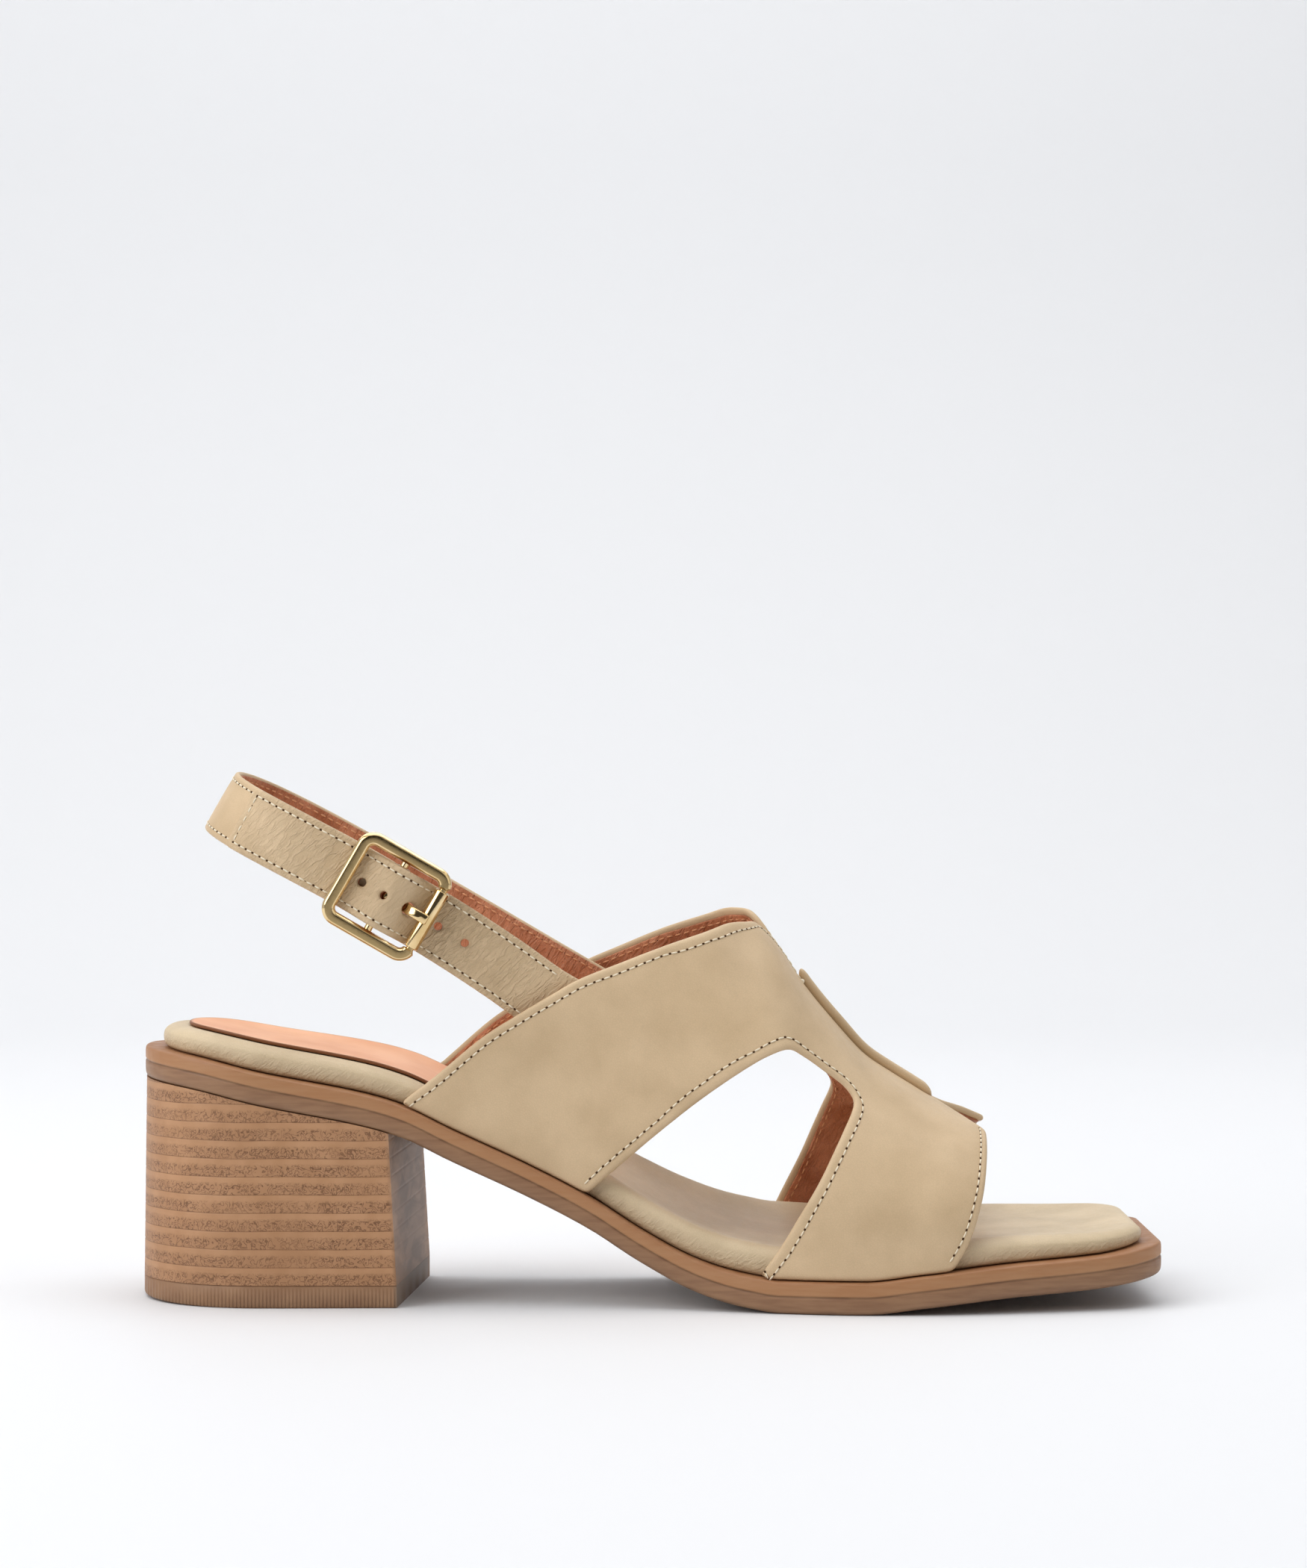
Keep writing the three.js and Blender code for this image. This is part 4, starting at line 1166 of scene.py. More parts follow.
def make_heel(stack, rubber):
    low = TOP_PIECE
    layers = 150
    join_gap = 0.04
    groove_depth = 0.09

    def grooved(share):
        ring = heel_ring(share, HEEL_INSET, lambda x: low + share * (sole_bottom(x) - join_gap - low))
        place = np.mod((ring[:, 2] - low) / STACK_PITCH, 1)
        seam = np.exp(-((np.minimum(place, 1 - place) / 0.04) ** 2))
        out = unit(ring[:, :2] - [HEEL_LENGTH_OUTER / 2, 0])
        ring[:, :2] -= out * (groove_depth * seam * min(1, share * 40, (1 - share) * 40))[:, None]
        return ring

    rings = [grooved(k / layers) for k in range(layers + 1)]
    breast = np.zeros(len(rings[0]))
    breast[HEEL_SIDE_POINTS:HEEL_SIDE_POINTS + BREAST_POINTS] = 1
    make_piece("heel_stacked", *ring_stack(rings), stack, "heel_stack", ("heel_block",), sharp=50,
               values={"breast": np.tile(breast, len(rings))})

    worn_length = HEEL_LENGTH_OUTER * 0.45

    def worn(x):
        return TOP_PIECE_WEAR * np.maximum(0, 1 - np.maximum(0, x) / worn_length) ** 2

    # The top piece: its rounded bottom edge by inset and height, and its top with a small bevel
    high = TOP_PIECE - 0.05
    rings = [
        heel_ring(0, HEEL_INSET + i, lambda x, v=v: np.minimum(worn(x) + v, high - 0.5))
        for i, v in ((0.6, 0.0), (0.3, 0.12), (0.08, 0.4), (0, 0.8))
    ]
    rings += [
        heel_ring(0, HEEL_INSET, lambda x: np.full(len(x), high - 0.25)),
        heel_ring(0, HEEL_INSET + 0.2, lambda x: np.full(len(x), high)),
    ]
    tread = np.repeat([1, 1, 1, 1, 0, 0], len(rings[0]))
    make_piece("heel_tip", *ring_stack(rings), rubber, "heel_rubber", ("heel_top_piece",), sharp=50,
               values={"breast": np.tile(breast, len(rings)), "tread": tread})


def make_footbed(look, sock):
    steps = np.linspace(0, 12, 61)
    levels = follow(FOOTBED_ROWS, "level", steps)
    insets = follow(FOOTBED_ROWS, "inset", steps)
    rings = [
        sole_ring(LEDGE + i * DISH_WIDTH, lambda x, y, v=v: footbed_height(v, x, y), FOOTBED_CORNER)
        for v, i in zip(levels, insets)
    ]
    # The leather is more wrinkled round the side than on the top, with more painted shade in its folds there
    worn = np.repeat(0.05 + 0.3 * np.clip((4.5 - steps) / 2, 0, 1), len(rings[0]))
    bed = make_piece("footbed_padded", *ring_stack(rings), look, "beige_leather", ("footbed",), sharp=60,
                     values={"worn": worn})

    def surface(flat):
        x, y = flat[:, 0], flat[:, 1]
        return np.column_stack([x, y, footbed_top(x, y) + GAP])

    shares = places(60)
    x = SOCK_INSET + shares * (SOCK_LENGTH - SOCK_INSET)
    front = np.sqrt(np.maximum(0, 1 - np.maximum(0, (shares - 0.8) / 0.2) ** 2))
    outer = np.stack([x, -half_width(-1, x, SOCK_INSET) * front], axis=1)
    inner = np.stack([x, half_width(1, x, SOCK_INSET) * front], axis=1)[::-1]
    loop = smooth_loop(resample(np.concatenate([outer, inner]), 1.0, True), 2)
    points, faces, flat = panel(surface, [loop], depth=-SOCK_THICKNESS, wall=SOCK_THICKNESS,
                                spacing=2.2, steps=4, rows=(0.55, 0.75, 1.2))
    edge = np.clip((0.5 - distance_to(flat, loop, True)) / 0.2, 0, 1)
    make_piece("heel_sock_pad", points, faces, sock, "tan_leather", ("heel_sock",), values={"edge": edge})


# The upper

def edge_line(rows, count, rise=0.0, forward=0.0):
    high = np.clip(rows["up"], 0, 1)
    x = rows["at"] * LENGTH + forward * high
    z = sole_top(rows["at"] * LENGTH) + rows["up"] * INSTEP_HEIGHT + rise * high
    return spline(np.column_stack([x, z]), count)


def on_side(side, line):
    """An edge drawn from the side, laid on the upper and cut off at the sole."""
    x, z = line[:, 0], line[:, 1]
    keep = z > sole_top(x) + GAP
    x, z = x[keep], z[keep]
    return np.column_stack([x, down_at_height(side, x, z)])


def toe_notch_line(side, forward):
    """From the mouth of the toe's notch to its apex."""
    apex = TOE_NOTCH_AT * LENGTH
    mouth = TOE_NOTCH_FRONT_AT * LENGTH + forward
    t = np.linspace(0, 1, 40)
    x = mouth + (apex - mouth) * t
    return np.column_stack([x, down_at_width(side, x, TOE_NOTCH_SHARE * BALL_WIDTH * (1 - t))])


def throat_line(side):
    x = np.linspace(THROAT_ROWS["at"][0], THROAT_AT, 160) * LENGTH
    y = BALL_WIDTH * follow(THROAT_ROWS, "across", x / LENGTH)
    return np.column_stack([x, down_at_width(side, x, y)])


def trimmed(back, throat):
    """The back edge up to the place where it meets the throat, and the throat from there on."""
    reach = np.interp(throat[:, 0], back[:, 0], np.abs(back[:, 1]), right=0)
    past = np.nonzero(np.abs(throat[:, 1]) >= reach)[0]
    meet = throat[past[0]] if len(past) else throat[0]
    return np.vstack([back[back[:, 0] < meet[0]], meet]), throat[throat[:, 0] >= meet[0]]


def seat_line(side, start, end):
    """Along the upper's bottom edge, on the sole."""
    x = np.linspace(start, end, 60)
    return np.column_stack([x, down_at_height(side, x, sole_top(x) + GAP)])


def upper_edges():
    edges = {}
    for side in (-1, 1):
        rise = MEDIAL_RISE if side > 0 else 0
        forward = MEDIAL_FORWARD if side > 0 else 0
        back = on_side(side, edge_line(BACK_EDGE_ROWS, 200, rise=rise))
        edges[side, "back"], edges[side, "throat"] = trimmed(back, throat_line(side))
        backward = OPENING_MEDIAL_BACK if side > 0 else 0
        edges[side, "opening"] = on_side(side, edge_line(OPENING_ROWS, 400, forward=-backward))
        edges[side, "front"] = on_side(side, edge_line(FRONT_EDGE_ROWS, 120, forward=forward))
        edges[side, "toe"] = toe_notch_line(side, forward)
    return edges


def upper_loop(edges):
    parts = []
    for side in (1, -1):
        back, opening, front = (edges[side, key] for key in ("back", "opening", "front"))
        half = [
            edges[side, "throat"][::-1],
            back[::-1],
            seat_line(side, back[0, 0], opening[0, 0]),
            opening,
            seat_line(side, opening[-1, 0], front[0, 0]),
            front,
            edges[side, "toe"],
        ]
        half = np.concatenate(half)
        parts.append(half if side > 0 else half[::-1])
    return smooth_loop(resample(np.concatenate(parts), 0.8, True), 4)


def stretch(loop, start, end):
    """The part of a loop from near one place to near another, the shorter way round."""
    a = np.linalg.norm(loop - start, axis=1).argmin()
    b = np.linalg.norm(loop - end, axis=1).argmin()
    count = len(loop)
    ahead = (b - a) % count
    if ahead <= count - ahead:
        return [(a + k) % count for k in range(ahead + 1)]
    return [(a - k) % count for k in range(count - ahead + 1)]


def stitch_groove(flat, rows):
    """The trough that each row of stitches pulls into the leather."""
    near = np.min([distance_to(flat, row) for row in rows], axis=0)
    return -0.13 * np.exp(-((near / 0.4) ** 2))


# Soft troughs and ridges of the upper: place along the shoe, length down from the ridge (negative on
# the outer side), turn in degrees, half length, half width and height
SOFT_CREASES = [
    (104, -58, 35, 16, 4.5, -0.22),
    (96, -66, 30, 14, 4.0, 0.15),
    (118, -50, 40, 12, 5.0, 0.14),
    (168, -24, 70, 12, 5.0, -0.16),
    (176, -44, 80, 14, 4.0, 0.12),
    (188, -40, 85, 13, 4.5, -0.12),
    (197, -34, 80, 12, 3.5, 0.12),
    (104, 58, -35, 16, 4.5, -0.22),
    (118, 50, -40, 12, 5.0, 0.14),
    (176, 44, -80, 14, 4.0, 0.12),
    (190, 40, -85, 13, 4.5, -0.14),
]


def soft_creases(flat):
    total = np.zeros(len(flat))
    for x, down, turn, reach, width, height in SOFT_CREASES:
        angle = math.radians(turn)
        off = flat - [x, down]
        along = off @ [math.cos(angle), math.sin(angle)]
        across = off @ [-math.sin(angle), math.cos(angle)]
        total += height * np.exp(-((along / reach) ** 2) - (across / width) ** 2)
    return total


def creased_upper(flat):
    """The upper's outer face with its soft creases, which the stitches follow."""
    return upper_point(flat) + facing(upper_point, flat, 1) * soft_creases(flat)[:, None]


def make_upper(look, lining):
    edges = upper_edges()
    loop = upper_loop(edges)
    if signed_area(loop) < 0:
        loop = loop[::-1]
    normals = loop_normals(loop)
    rows = []
    for side in (-1, 1):
        back, throat, opening, front = (edges[side, key] for key in ("back", "throat", "opening", "front"))
        for start, middle, end in (
            (back[0], throat[0], throat[-1]),
            (opening[0], opening[len(opening) // 2], opening[-1]),
            (front[0], front[-1], front[-1]),
        ):
            path = stretch(loop, start, middle) + stretch(loop, middle, end)[1:]
            rows.append(loop[path] + normals[path] * STITCH_INSET)

    def relief(flat):
        return soft_creases(flat) + stitch_groove(flat, rows)

    points, faces, _ = panel(upper_point, [loop], wall=WALL - LINING, rows=(0.35, 0.62, 0.9, 1.2, 1.6),
                             spacing=1.6, relief=relief)
    make_piece("upper_leather", points, faces, look, "beige_leather", ("upper",))

    inner = resample(loop + normals * 0.9, 1.2, True)
    points, faces, _ = panel(upper_point, [inner], depth=WALL - LINING, wall=LINING, rows=(0.8,),
                             spacing=1.8, steps=3)
    make_piece("upper_lining", points, faces, lining, "lining_leather")
    return rows


def make_seam(look):
    """The raised seam on the ridge between the two notches, pinched in at its foot."""
    start = THROAT_AT * LENGTH - 0.5
    end = TOE_NOTCH_AT * LENGTH
    half = SEAM_WIDTH / 2
    # Half of the seam's section, from its foot to its crest, as shares of its half width and height
    profile = [(0.72, -0.3), (0.74, 0.05), (0.97, 0.2), (1.0, 0.5),
               (0.95, 0.75), (0.75, 0.93), (0.4, 1.0), (0.12, 1.0)]
    rings = []
    for share in (1 - np.cos(np.linspace(0, math.pi, 90))) / 2:
        x = start + (end - start) * share
        from_end = min(x - start, end - x) / SEAM_HEIGHT
        round_end = math.sqrt(max(0.0, 1 - (1 - from_end) ** 2)) if from_end < 1 else 1
        lean = math.hypot(1, (ridge(x + 1) - ridge(x - 1)) / 2)
        crest = SEAM_HEIGHT * lean * (0.2 + 0.8 * round_end)
        wide = half * (0.35 + 0.65 * round_end)
        right = [(x, wide * y, ridge(x) + crest * z) for y, z in profile]
        left = [(x, -wide * y, ridge(x) + crest * z) for y, z in reversed(profile)]
        rings.append(np.array(right + left))
    make_piece("upper_raised_seam", *ring_stack(rings), look, "beige_leather")


# The sling

SLOPE = math.radians(SLING_ANGLE)
SLING_ALONG = np.array([-math.cos(SLOPE), 0, math.sin(SLOPE)])
SLING_UP = np.array([math.sin(SLOPE), 0, math.cos(SLOPE)])
ROOT_X = SLING_ROOT_AT * LENGTH
SLING_ROOT = np.array([ROOT_X, 0, float(sole_top(ROOT_X)) + SLING_ROOT_UP * INSTEP_HEIGHT])


def tuck_y(side):
    """Where a strap lies against the inside of the upper on one side."""
    inset = LEDGE - GAP - SEAT_SLACK
    width = half_width(side, ROOT_X, inset)
    rim = sole_top(ROOT_X) + FOOTBED_THICKNESS
    slope = (ridge(ROOT_X + 1) - ridge(ROOT_X - 1)) / 2
    rise = ridge(ROOT_X) + medial_lift(side, ROOT_X) - WALL * math.hypot(1, slope) - rim
    power = 2 / follow(RIDGE_ROWS, "fullness", ROOT_X / LENGTH)
    high = SLING_ROOT[2] + STRAP_WIDTH / 2
    steps = 14
    for k in range(steps + 1):
        angle = math.pi / 2 * k / (steps + 0.4)
        if rim + rise * math.sin(angle) ** power > high:
            return width * math.cos(angle) ** power - GAP - STRAP_THICKNESS / 2 - 0.3


def sling_point(u, y):
    """The sling bows up a little on its way to the back, and its inner side lies higher."""
    inward = (y + SLING_HALF_WIDTH) / (2 * SLING_HALF_WIDTH)
    s = max(0, u / SLING_REACH)
    bow = SLING_BOW * 4 * s * (1 - s) * (1 - inward)
    rise = bow + inward * (MEDIAL_RISE + SLING_INNER_LIFT * (1 - s))
    point = SLING_ROOT + SLING_ALONG * u + SLING_UP * rise
    return np.array([point[0], y, point[2]])


def centripetal(points, per_span=60):
    """A centripetal Catmull-Rom curve, with its ends carried on straight."""
    points = np.concatenate([[2 * points[0] - points[1]], points, [2 * points[-1] - points[-2]]])
    made = []
    for p0, p1, p2, p3 in zip(points, points[1:], points[2:], points[3:]):
        d0, d1, d2 = (math.sqrt(np.linalg.norm(b - a)) for a, b in ((p0, p1), (p1, p2), (p2, p3)))
        t1 = ((p1 - p0) / d0 - (p2 - p0) / (d0 + d1) + (p2 - p1) / d1) * d1
        t2 = ((p2 - p1) / d1 - (p3 - p1) / (d1 + d2) + (p3 - p2) / d2) * d1
        t = np.linspace(0, 1, per_span, endpoint=False)[:, None]
        made.append(p1 + t1 * t + (3 * (p2 - p1) - 2 * t1 - t2) * t**2 + (2 * (p1 - p2) + t1 + t2) * t**3)
    return np.concatenate(made + [points[-2:-1]])


def sling_line():
    outer_root = -tuck_y(-1)
    inner_root = tuck_y(1)
    bend_from = SLING_REACH - SLING_BEND
    points = []

    def run(start, end, root, side):
        for u in np.linspace(start, end, 7):
            share = min(1, max(0, u / bend_from))
            ease = share * share * (3 - 2 * share)
            points.append(sling_point(u, root + (side * SLING_HALF_WIDTH - root) * ease))

    run(-SLING_TUCK, bend_from, outer_root, -1)
    for k in range(1, 10):
        angle = math.pi * k / 10
        u = bend_from + SLING_BEND * math.sin(angle)
        points.append(sling_point(u, -SLING_HALF_WIDTH * math.cos(angle)))
    run(bend_from, -SLING_TUCK, inner_root, 1)
    return centripetal(np.array(points))


SLING = sling_line()
SLING_PLACES = lengths_along(SLING) - SLING_TUCK
SLING_END = SLING_PLACES[-1]


def sling_frame(at):
    """Origin, direction along, outward and up at places along the sling."""
    at = np.atleast_1d(np.asarray(at, dtype=float))

    def point(u):
        u = np.clip(u, SLING_PLACES[0], SLING_END)
        return np.column_stack([np.interp(u, SLING_PLACES, SLING[:, c]) for c in range(3)])

    step = 0.8
    along = unit(point(at + step) - point(at - step))
    out = unit(np.cross(SLING_UP, along))
    return point(at), along, out, np.cross(along, out)


def strap_surface(rows):
    def surface(flat):
        origin, _, out, up = sling_frame(flat[:, 0])
        place = (flat[:, 0] - BUCKLE_AT) / BUCKLE_LENGTH
        lift = BUCKLE_LIFT * follow(rows, "lift", place) + STRAP_THICKNESS / 2
        return origin + up * flat[:, 1:2] + out * lift[:, None]
    return surface


def rounded_box(low, high, corner, step=0.8):
    """A rectangle with round corners, as a closed loop."""
    points = []
    for cx, cy, turn in (
        (high[0] - corner, high[1] - corner, 0),
        (low[0] + corner, high[1] - corner, 1),
        (low[0] + corner, low[1] + corner, 2),
        (high[0] - corner, low[1] + corner, 3),
    ):
        for a in np.linspace(0, math.pi / 2, 9):
            angle = a + turn * math.pi / 2
            points.append((cx + corner * math.cos(angle), cy + corner * math.sin(angle)))
    return resample(np.array(points), step, True)


def round_hole(x, radius):
    angle = np.linspace(0, 2 * math.pi, 28, endpoint=False)
    return np.column_stack([x + radius * np.cos(angle), radius * np.sin(angle)])


def row_along(start, end, across, count):
    return np.column_stack([np.linspace(start, end, count), np.full(count, across)])


def crown(flat, height):
    """A strap's face swells a little towards its middle."""
    return height * (1 - (2 * flat[:, 1] / STRAP_WIDTH) ** 2)


def strap_lining(name, surface, start, end, holes, corner, spacing, look):
    """The lining of a strap, a little smaller than its leather."""
    half = STRAP_WIDTH / 2 - 0.5
    loop = rounded_box((start, -half), (end, half), corner, 1.0)
    points, faces, _ = panel(surface, [loop] + holes, depth=STRAP_THICKNESS - LINING, wall=LINING,
                             outward=-1, spacing=spacing, steps=3)
    make_piece(name, points, faces, look, "lining_leather")


PRONG_HOLE_AT = BUCKLE_AT - 0.606 * (BUCKLE_LENGTH - BUCKLE_BAR) / 2


def make_front_strap(look, lining):
    surface = strap_surface(FRONT_STRAP_ROWS)
    half = STRAP_WIDTH / 2
    outline = rounded_box((-SLING_TUCK, -half), (TAIL_LENGTH, half), 1.2)
    holes = [round_hole(PRONG_HOLE_AT + k * HOLE_SPACING, HOLE_DIAMETER / 2) for k in (-2, -1, 1, 1.8)]
    holes.append(round_hole(PRONG_RISE_AT, PRONG_RING / 2))
    seam = half - STITCH_INSET
    tail = TAIL_LENGTH - 1.9
    rows = [row_along(0, tail, side * seam, 200) for side in (1, -1)]
    rows.append(np.column_stack([np.full(40, tail), np.linspace(-seam, seam, 40)]))

    def relief(flat):
        return stitch_groove(flat, rows) + crown(flat, 0.12) + strap_creases(flat)

    points, faces, flat = panel(surface, [outline] + holes, wall=STRAP_THICKNESS - LINING, outward=-1,
                                rows=(0.35, 0.65, 0.95, 1.3), spacing=1.1, relief=relief)
    make_piece("sling_front_leather", points, faces, look, "beige_leather", ("sling_strap_front",),
               values={"worn": follow(WORN_ROWS, "worn", flat[:, 0])})
    strap_lining("sling_front_lining", surface, -SLING_TUCK + 1, TAIL_LENGTH - 0.5, holes, 1.2, 1.4, lining)
    return surface, rows


# Soft folds across the strap beside the roller: place, width, height
CREASE_ROWS = [
    (24.5, 1.2, -0.08),
    (27.0, 0.8, 0.1),
    (28.8, 0.6, -0.12),
    (30.2, 0.6, 0.1),
    (31.6, 0.5, -0.12),
    (60.5, 1.0, -0.08),
    (63.0, 1.0, 0.08),
]

# How wrinkled the straps are along the sling, and so how much painted shade their folds get
WORN_ROWS = table(
    "at worn",
    (0, 0.45),
    (18, 0.6),
    (26, 0.75),
    (29, 1.0),
    (33, 1.0),
    (37, 0.3),
    (46, 0.35),
    (58, 0.6),
    (70, 0.55),
    (86, 0.3),
)


def strap_creases(flat):
    total = np.zeros(len(flat))
    for at, width, height in CREASE_ROWS:
        bow = at + 0.02 * flat[:, 1] ** 2
        total += height * np.exp(-(((flat[:, 0] - bow) / width) ** 2))
    return total


def make_rear_strap(look, lining):
    surface = strap_surface(REAR_STRAP_ROWS)
    half = STRAP_WIDTH / 2
    start = BUCKLE_AT + CENTRE_BAR / 2 + GAP + 0.2
    end = SLING_END
    outline = rounded_box((start, -half), (end, half), 0.9)
    seam = half - STITCH_INSET
    rows = [row_along(start + 8, end - 2, side * seam, 400) for side in (1, -1)]

    def relief(flat):
        return stitch_groove(flat, rows) + crown(flat, 0.1)

    points, faces, _ = panel(surface, [outline], wall=STRAP_THICKNESS - LINING, outward=-1,
                             rows=(0.35, 0.65, 0.95, 1.3), spacing=1.4, relief=relief)
    # The two loops round the centre bar, one on each side of the prong
    slot = PRONG_WIDTH + 2 * GAP + 0.6
    eye = CENTRE_BAR / 2 + GAP + LOOP_WALL
    for turn in (-1, 1):
        z_low, z_high = sorted((turn * slot / 2, turn * half))
        more, more_faces = round_bar(0, CENTRE_BAR_LIFT, eye, z_low, z_high)
        points, faces = joined(points, faces, on_buckle(more), more_faces)
    make_piece("sling_rear_leather", points, faces, look, "beige_leather", ("sling_strap_rear",))
    strap_lining("sling_rear_lining", surface, start + 0.5, end - 0.5, [], 0.9, 1.8, lining)
    return surface, rows


# Stitches

class Seams:
    """The points, faces and looks of many small turned forms: 0 is thread, 1 is the painted shade of a needle
    hole.
    """

    def __init__(self):
        self.points, self.faces, self.looks = [], [], []

    def tube(self, rings):
        """Rings of points joined into a closed form of thread."""
        low, sides = len(self.points), len(rings[0])
        for ring in rings:
            self.points += list(ring)
        made = []
        for r in range(len(rings) - 1):
            a, b = low + r * sides, low + (r + 1) * sides
            made += [(a + k, a + (k + 1) % sides, b + (k + 1) % sides, b + k) for k in range(sides)]
        top = low + (len(rings) - 1) * sides
        made += [tuple(low + k for k in range(sides))[::-1], tuple(top + k for k in range(sides))]
        self.faces += made
        self.looks += [0] * len(made)

    def needle_hole_shade(self, middle, ahead, side, normal):
        """A dark dimple of painted shade in a needle hole: a low cone up and one down."""
        low, sides = len(self.points), THREAD_SIDES
        self.points.append(middle + normal * 0.06)
        for k in range(sides):
            angle = 2 * math.pi * k / sides
            round_it = ahead * math.cos(angle) + side * 0.8 * math.sin(angle)
            self.points.append(middle + NEEDLE_HOLE * round_it)
        self.points.append(middle - normal * 0.15)
        for k in range(sides):
            after = (k + 1) % sides
            self.faces.append((low, low + 1 + k, low + 1 + after))
            self.faces.append((low + sides + 1, low + 1 + after, low + 1 + k))
            self.looks += [1, 1]


def stitch_run(surface, row, outward, seams):
    """Stitches and their needle holes along one row."""
    row = resample(row, 0.2)
    along = lengths_along(surface(row))
    count = max(1, int(along[-1] / STITCH_PITCH))
    at = (np.arange(count) + 0.5) * along[-1] / count

    def flat_at(s):
        return np.column_stack([np.interp(s, along, row[:, 0]), np.interp(s, along, row[:, 1])])

    middle = surface(flat_at(at))
    ahead = unit(surface(flat_at(at + 0.3)) - surface(flat_at(at - 0.3)))
    normal = facing(surface, flat_at(at), outward)
    side = np.cross(normal, ahead)
    turns = [2 * math.pi * k / THREAD_SIDES for k in range(THREAD_SIDES)]
    for m, a, n, s in zip(middle, ahead, normal, side):
        wobble = random.uniform(-0.06, 0.06)
        rings = []
        for t in np.linspace(-1, 1, 7):
            fat = STITCH_THICKNESS / 2 * max(0.12, math.sqrt(1 - t * t) ** 0.6)
            core = m + (a + s * wobble) * t * STITCH_LENGTH / 2 + n * (STITCH_LIFT - 0.16 * t * t)
            rings.append([core + s * fat * math.cos(u) + n * fat * 0.8 * math.sin(u) for u in turns])
        seams.tube(rings)
        seams.needle_hole_shade(m + a * STITCH_PITCH / 2 + n * (STITCH_LIFT - 0.14), a, s, n)


def inside_of(surface, outward, depth):
    """The inner face of a sheet, as a surface over the same flat plan."""
    return lambda flat: surface(flat) - facing(surface, flat, outward) * depth


def thread_knot(place):
    """Rings of a small round end of thread."""
    turns = [2 * math.pi * k / 12 for k in range(12)]
    return [
        [place + KNOT * np.array([math.cos(tilt) * math.cos(u), math.cos(tilt) * math.sin(u), math.sin(tilt)])
         for u in turns]
        for tilt in np.linspace(-1.35, 1.35, 7)
    ]


def make_stitches(name, runs, look, hole, knot=None):
    seams = Seams()
    for surface, row, outward in runs:
        stitch_run(surface, row, outward, seams)
    if knot is not None:
        seams.tube(thread_knot(knot))
    make_piece(name, np.array(seams.points), seams.faces, look, "stitch_thread",
               face_looks=seams.looks, other=hole)


# The buckle

_origin, _along, _out, _ = sling_frame(BUCKLE_AT)
BUCKLE_ORIGIN, BUCKLE_X, BUCKLE_Y = _origin[0], _along[0], _out[0]
BUCKLE_Z = np.cross(BUCKLE_X, BUCKLE_Y)
CENTRE_BAR_LIFT = BUCKLE_LIFT - CENTRE_BAR_DROP


def on_buckle(points):
    """From the buckle's frame: X along the strap, Y out from it, Z across it."""
    points = np.asarray(points, dtype=float)
    return BUCKLE_ORIGIN + points @ np.array([BUCKLE_X, BUCKLE_Y, BUCKLE_Z])


def round_bar(x, lift, radius, z_low, z_high, sides=24):
    """A turned bar or tube across the buckle, with eased ends."""
    bevel = 0.25
    rows = [(z_low, radius - bevel), (z_low + bevel * 0.3, radius - bevel * 0.3), (z_low + bevel, radius)]
    rows += [(z_high - (z - z_low), r) for z, r in reversed(rows)]
    rings = []
    for z, r in rows:
        angle = np.linspace(0, 2 * math.pi, sides, endpoint=False)
        rings.append(np.column_stack([x + r * np.cos(angle), lift + r * np.sin(angle), np.full(sides, z)]))
    return ring_stack(rings)


def make_buckle_frame(look):
    half_long = (BUCKLE_LENGTH - BUCKLE_BAR) / 2
    half_wide = (BUCKLE_WIDTH - BUCKLE_BAR) / 2
    centres = [
        (half_long - BUCKLE_CORNER, half_wide - BUCKLE_CORNER),
        (-half_long + BUCKLE_CORNER, half_wide - BUCKLE_CORNER),
        (-half_long + BUCKLE_CORNER, -half_wide + BUCKLE_CORNER),
        (half_long - BUCKLE_CORNER, -half_wide + BUCKLE_CORNER),
    ]
    path = []
    for turn, (cx, cz) in enumerate(centres):
        for a in np.linspace(0, math.pi / 2, 13):
            angle = a + turn * math.pi / 2
            path.append((cx + BUCKLE_CORNER * math.cos(angle), cz + BUCKLE_CORNER * math.sin(angle)))
    path = resample(np.array(path), 0.5, True)
    out = -loop_normals(path)
    # Half of the bar's section, from its back to its front: a flat face between two bevels
    section = [(-0.7, -1), (-0.92, -0.85), (-1, -0.5), (-1, 0.28), (-0.95, 0.5), (-0.78, 0.74), (-0.6, 0.93),
               (-0.5, 0.99), (-0.36, 1), (0, 1)]
    section += [(-w, t) for w, t in reversed(section[:-1])] + [(0, -1)]
    section = np.array(section[::-1])
    rings = []
    for p, o in zip(path, out):
        inside = p[0] < -half_long + 0.05 and abs(p[1]) < half_wide - BUCKLE_CORNER + 0.3
        wide = ROLLER_BAR / 2 if inside else BUCKLE_BAR / 2
        tall = ROLLER_BAR / 2 if inside else BUCKLE_BAR_HEIGHT / 2
        far = wide * section[:, 0]
        lift = BUCKLE_LIFT + tall * section[:, 1]
        rings.append(np.column_stack([p[0] + o[0] * far, lift, p[1] + o[1] * far]))
    points, faces = ring_stack(rings, closed=True)
    bar_points, bar_faces = round_bar(0, CENTRE_BAR_LIFT, CENTRE_BAR / 2, -half_wide, half_wide)
    points, faces = joined(points, faces, bar_points, bar_faces)
    # The frame's flat front face, which the gold material paints darker as a reflection
    face = np.append(np.tile(section[:, 1] > 0.98, len(rings)), np.zeros(len(bar_points)))
    make_piece("buckle_frame_cast", on_buckle(points), faces, look, "gold_metal", ("buckle_frame",),
               sharp=22, values={"face": face})


def make_roller(look):
    half_long = (BUCKLE_LENGTH - BUCKLE_BAR) / 2
    span = BUCKLE_WIDTH - BUCKLE_BAR - 2 * BUCKLE_CORNER - 2 * GAP
    points, faces = round_bar(-half_long, BUCKLE_LIFT, ROLLER_DIAMETER / 2, -span / 2, span / 2, sides=40)
    make_piece("buckle_roller_tube", on_buckle(points), faces, look, "gold_metal", ("buckle_roller",),
               sharp=60)


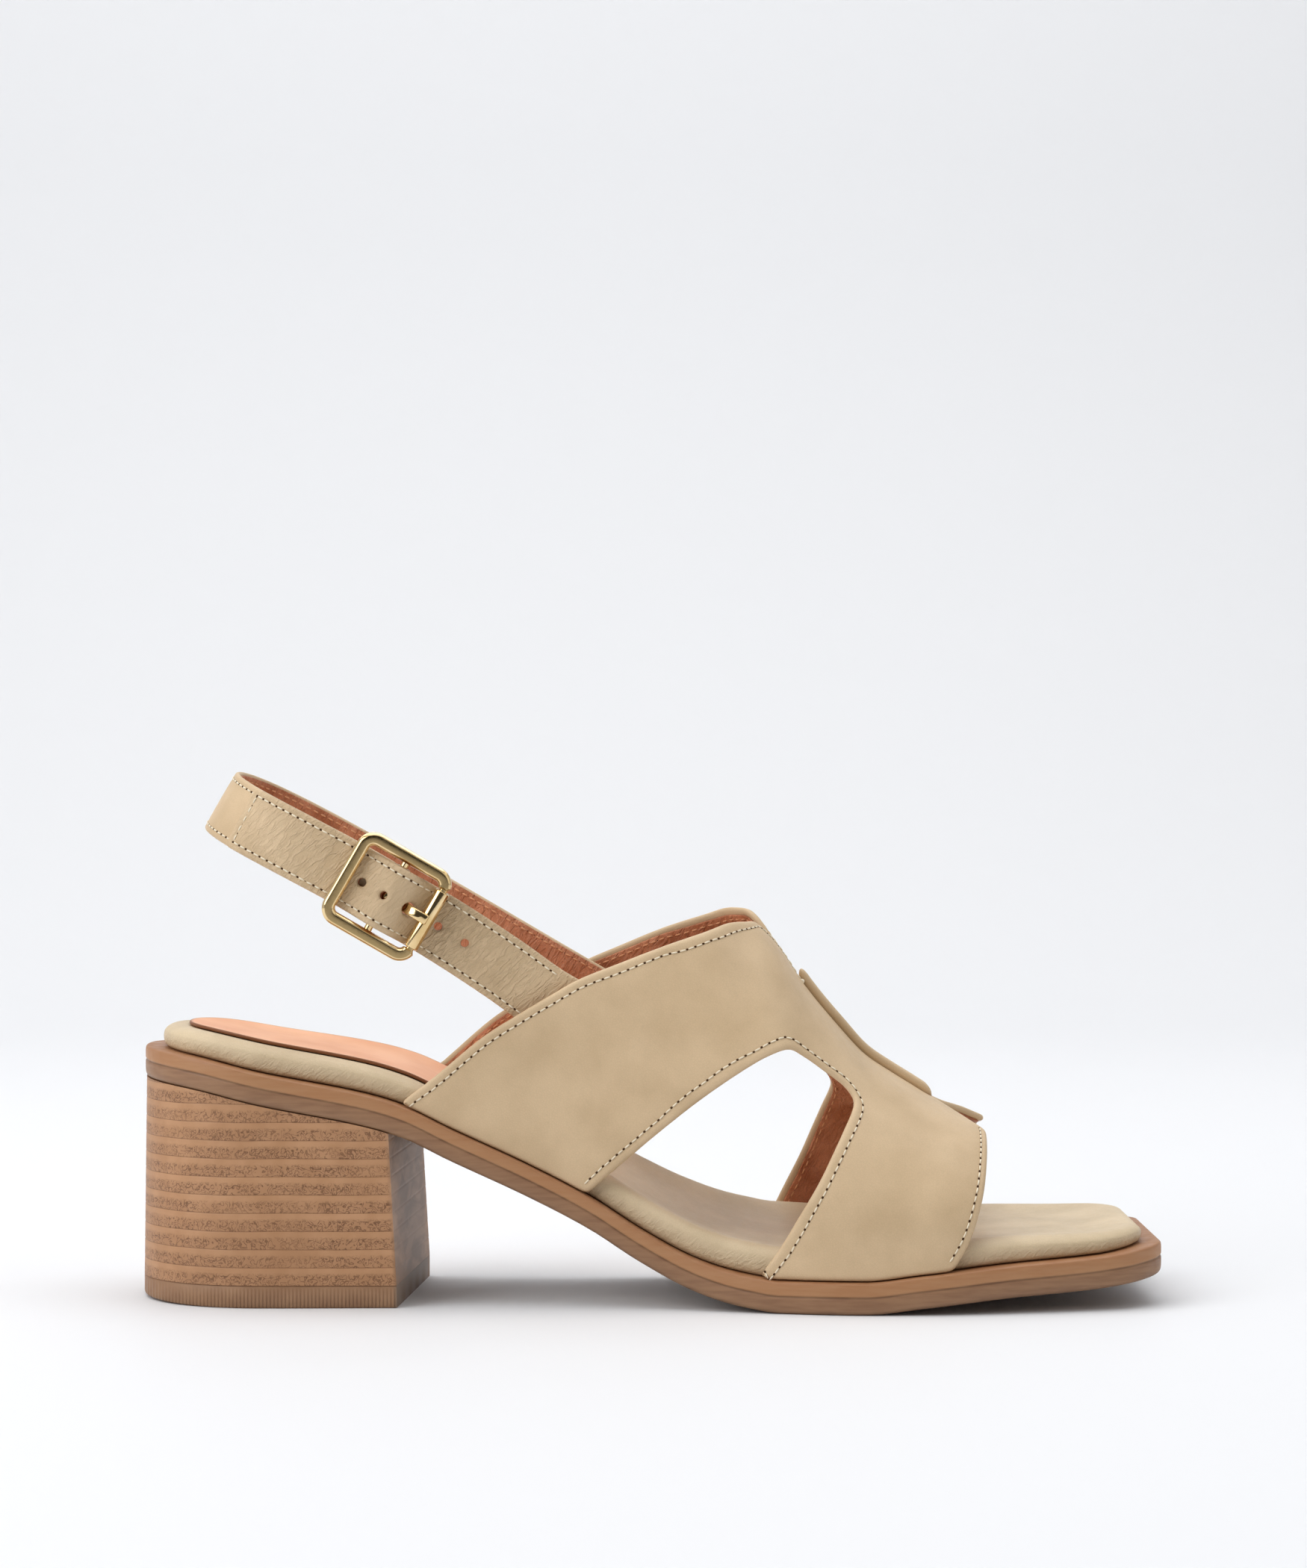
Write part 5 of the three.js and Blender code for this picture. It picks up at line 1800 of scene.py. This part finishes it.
def make_prong(look):
    roller_x = -(BUCKLE_LENGTH - BUCKLE_BAR) / 2
    over = BUCKLE_LIFT + ROLLER_DIAMETER / 2 + GAP / 2 + PRONG_THICKNESS / 2
    # Shares of the roller's distance and of the rise from the centre bar to the roller's top
    rows = table(
        "at lift",
        (0.1, 0), (0.335, 0.03), (0.398, 0.15), (0.4615, 0.35), (0.516, 0.55), (0.588, 0.76),
        (0.68, 0.9), (0.787, 0.98), (0.84, 1), (0.99, 1), (1.02, 1 - 0.15 / (over - CENTRE_BAR_LIFT)),
    )
    tip = table("at wide", (0.1, 1), (0.84, 1), (0.99, 1), (1.02, 0.8))
    sides = 20
    power = 2 / 3
    angle = np.linspace(0, 2 * math.pi, sides, endpoint=False)
    c, s = np.cos(angle), np.sin(angle)
    rings = []
    for at in np.linspace(0.1, 1.02, 50):
        shrink = follow(tip, "wide", at)
        lift = CENTRE_BAR_LIFT + (over - CENTRE_BAR_LIFT) * follow(rows, "lift", at)
        z = PRONG_WIDTH / 2 * shrink * np.sign(c) * np.abs(c) ** power
        y = PRONG_THICKNESS / 2 * shrink * np.sign(s) * np.abs(s) ** power
        rings.append(np.column_stack([np.full(sides, roller_x * at), lift + y, z]))
    points, faces = ring_stack(rings)
    eye = CENTRE_BAR / 2 + GAP + LOOP_WALL
    more, more_faces = round_bar(0, CENTRE_BAR_LIFT, eye, -PRONG_WIDTH / 2, PRONG_WIDTH / 2)
    points, faces = joined(points, faces, more, more_faces)
    make_piece("buckle_prong_cast", on_buckle(points), faces, look, "gold_metal", ("buckle_prong",))


make_camera()
make_stage()
make_lights()

leather = beige_leather()
strap_leather = beige_leather("strap_leather", wrinkled=True)
bed_leather = beige_leather("footbed_leather", (213, 192, 158), wrinkled=True)
tan_lining = lining_leather()
gold = gold_metal()
beige_thread = thread("beige_thread", (244, 232, 206))
tan_thread = thread("tan_thread", (226, 164, 118))
needle_hole_shade = painted_hole_shade()

make_outsole(sole_rubber())
make_heel(heel_stack(), heel_rubber())
make_footbed(bed_leather, sock_leather())
upper_rows = make_upper(leather, tan_lining)
make_seam(leather)
front_surface, front_rows = make_front_strap(strap_leather, tan_lining)
rear_surface, rear_rows = make_rear_strap(leather, tan_lining)
runs = [(creased_upper, row, 1) for row in upper_rows]
runs += [(front_surface, row, -1) for row in front_rows]
runs += [(rear_surface, row, -1) for row in rear_rows]
make_stitches("stitches", runs, beige_thread, needle_hole_shade, knot=upper_point(np.array([KNOT_PLACE]))[0])
runs = [(inside_of(upper_point, 1, WALL), row, -1) for row in upper_rows]
runs += [(inside_of(rear_surface, -1, STRAP_THICKNESS), row, 1) for row in rear_rows]
make_stitches("lining_stitches", runs, tan_thread, needle_hole_shade)
make_buckle_frame(gold)
make_roller(gold)
make_prong(gold)
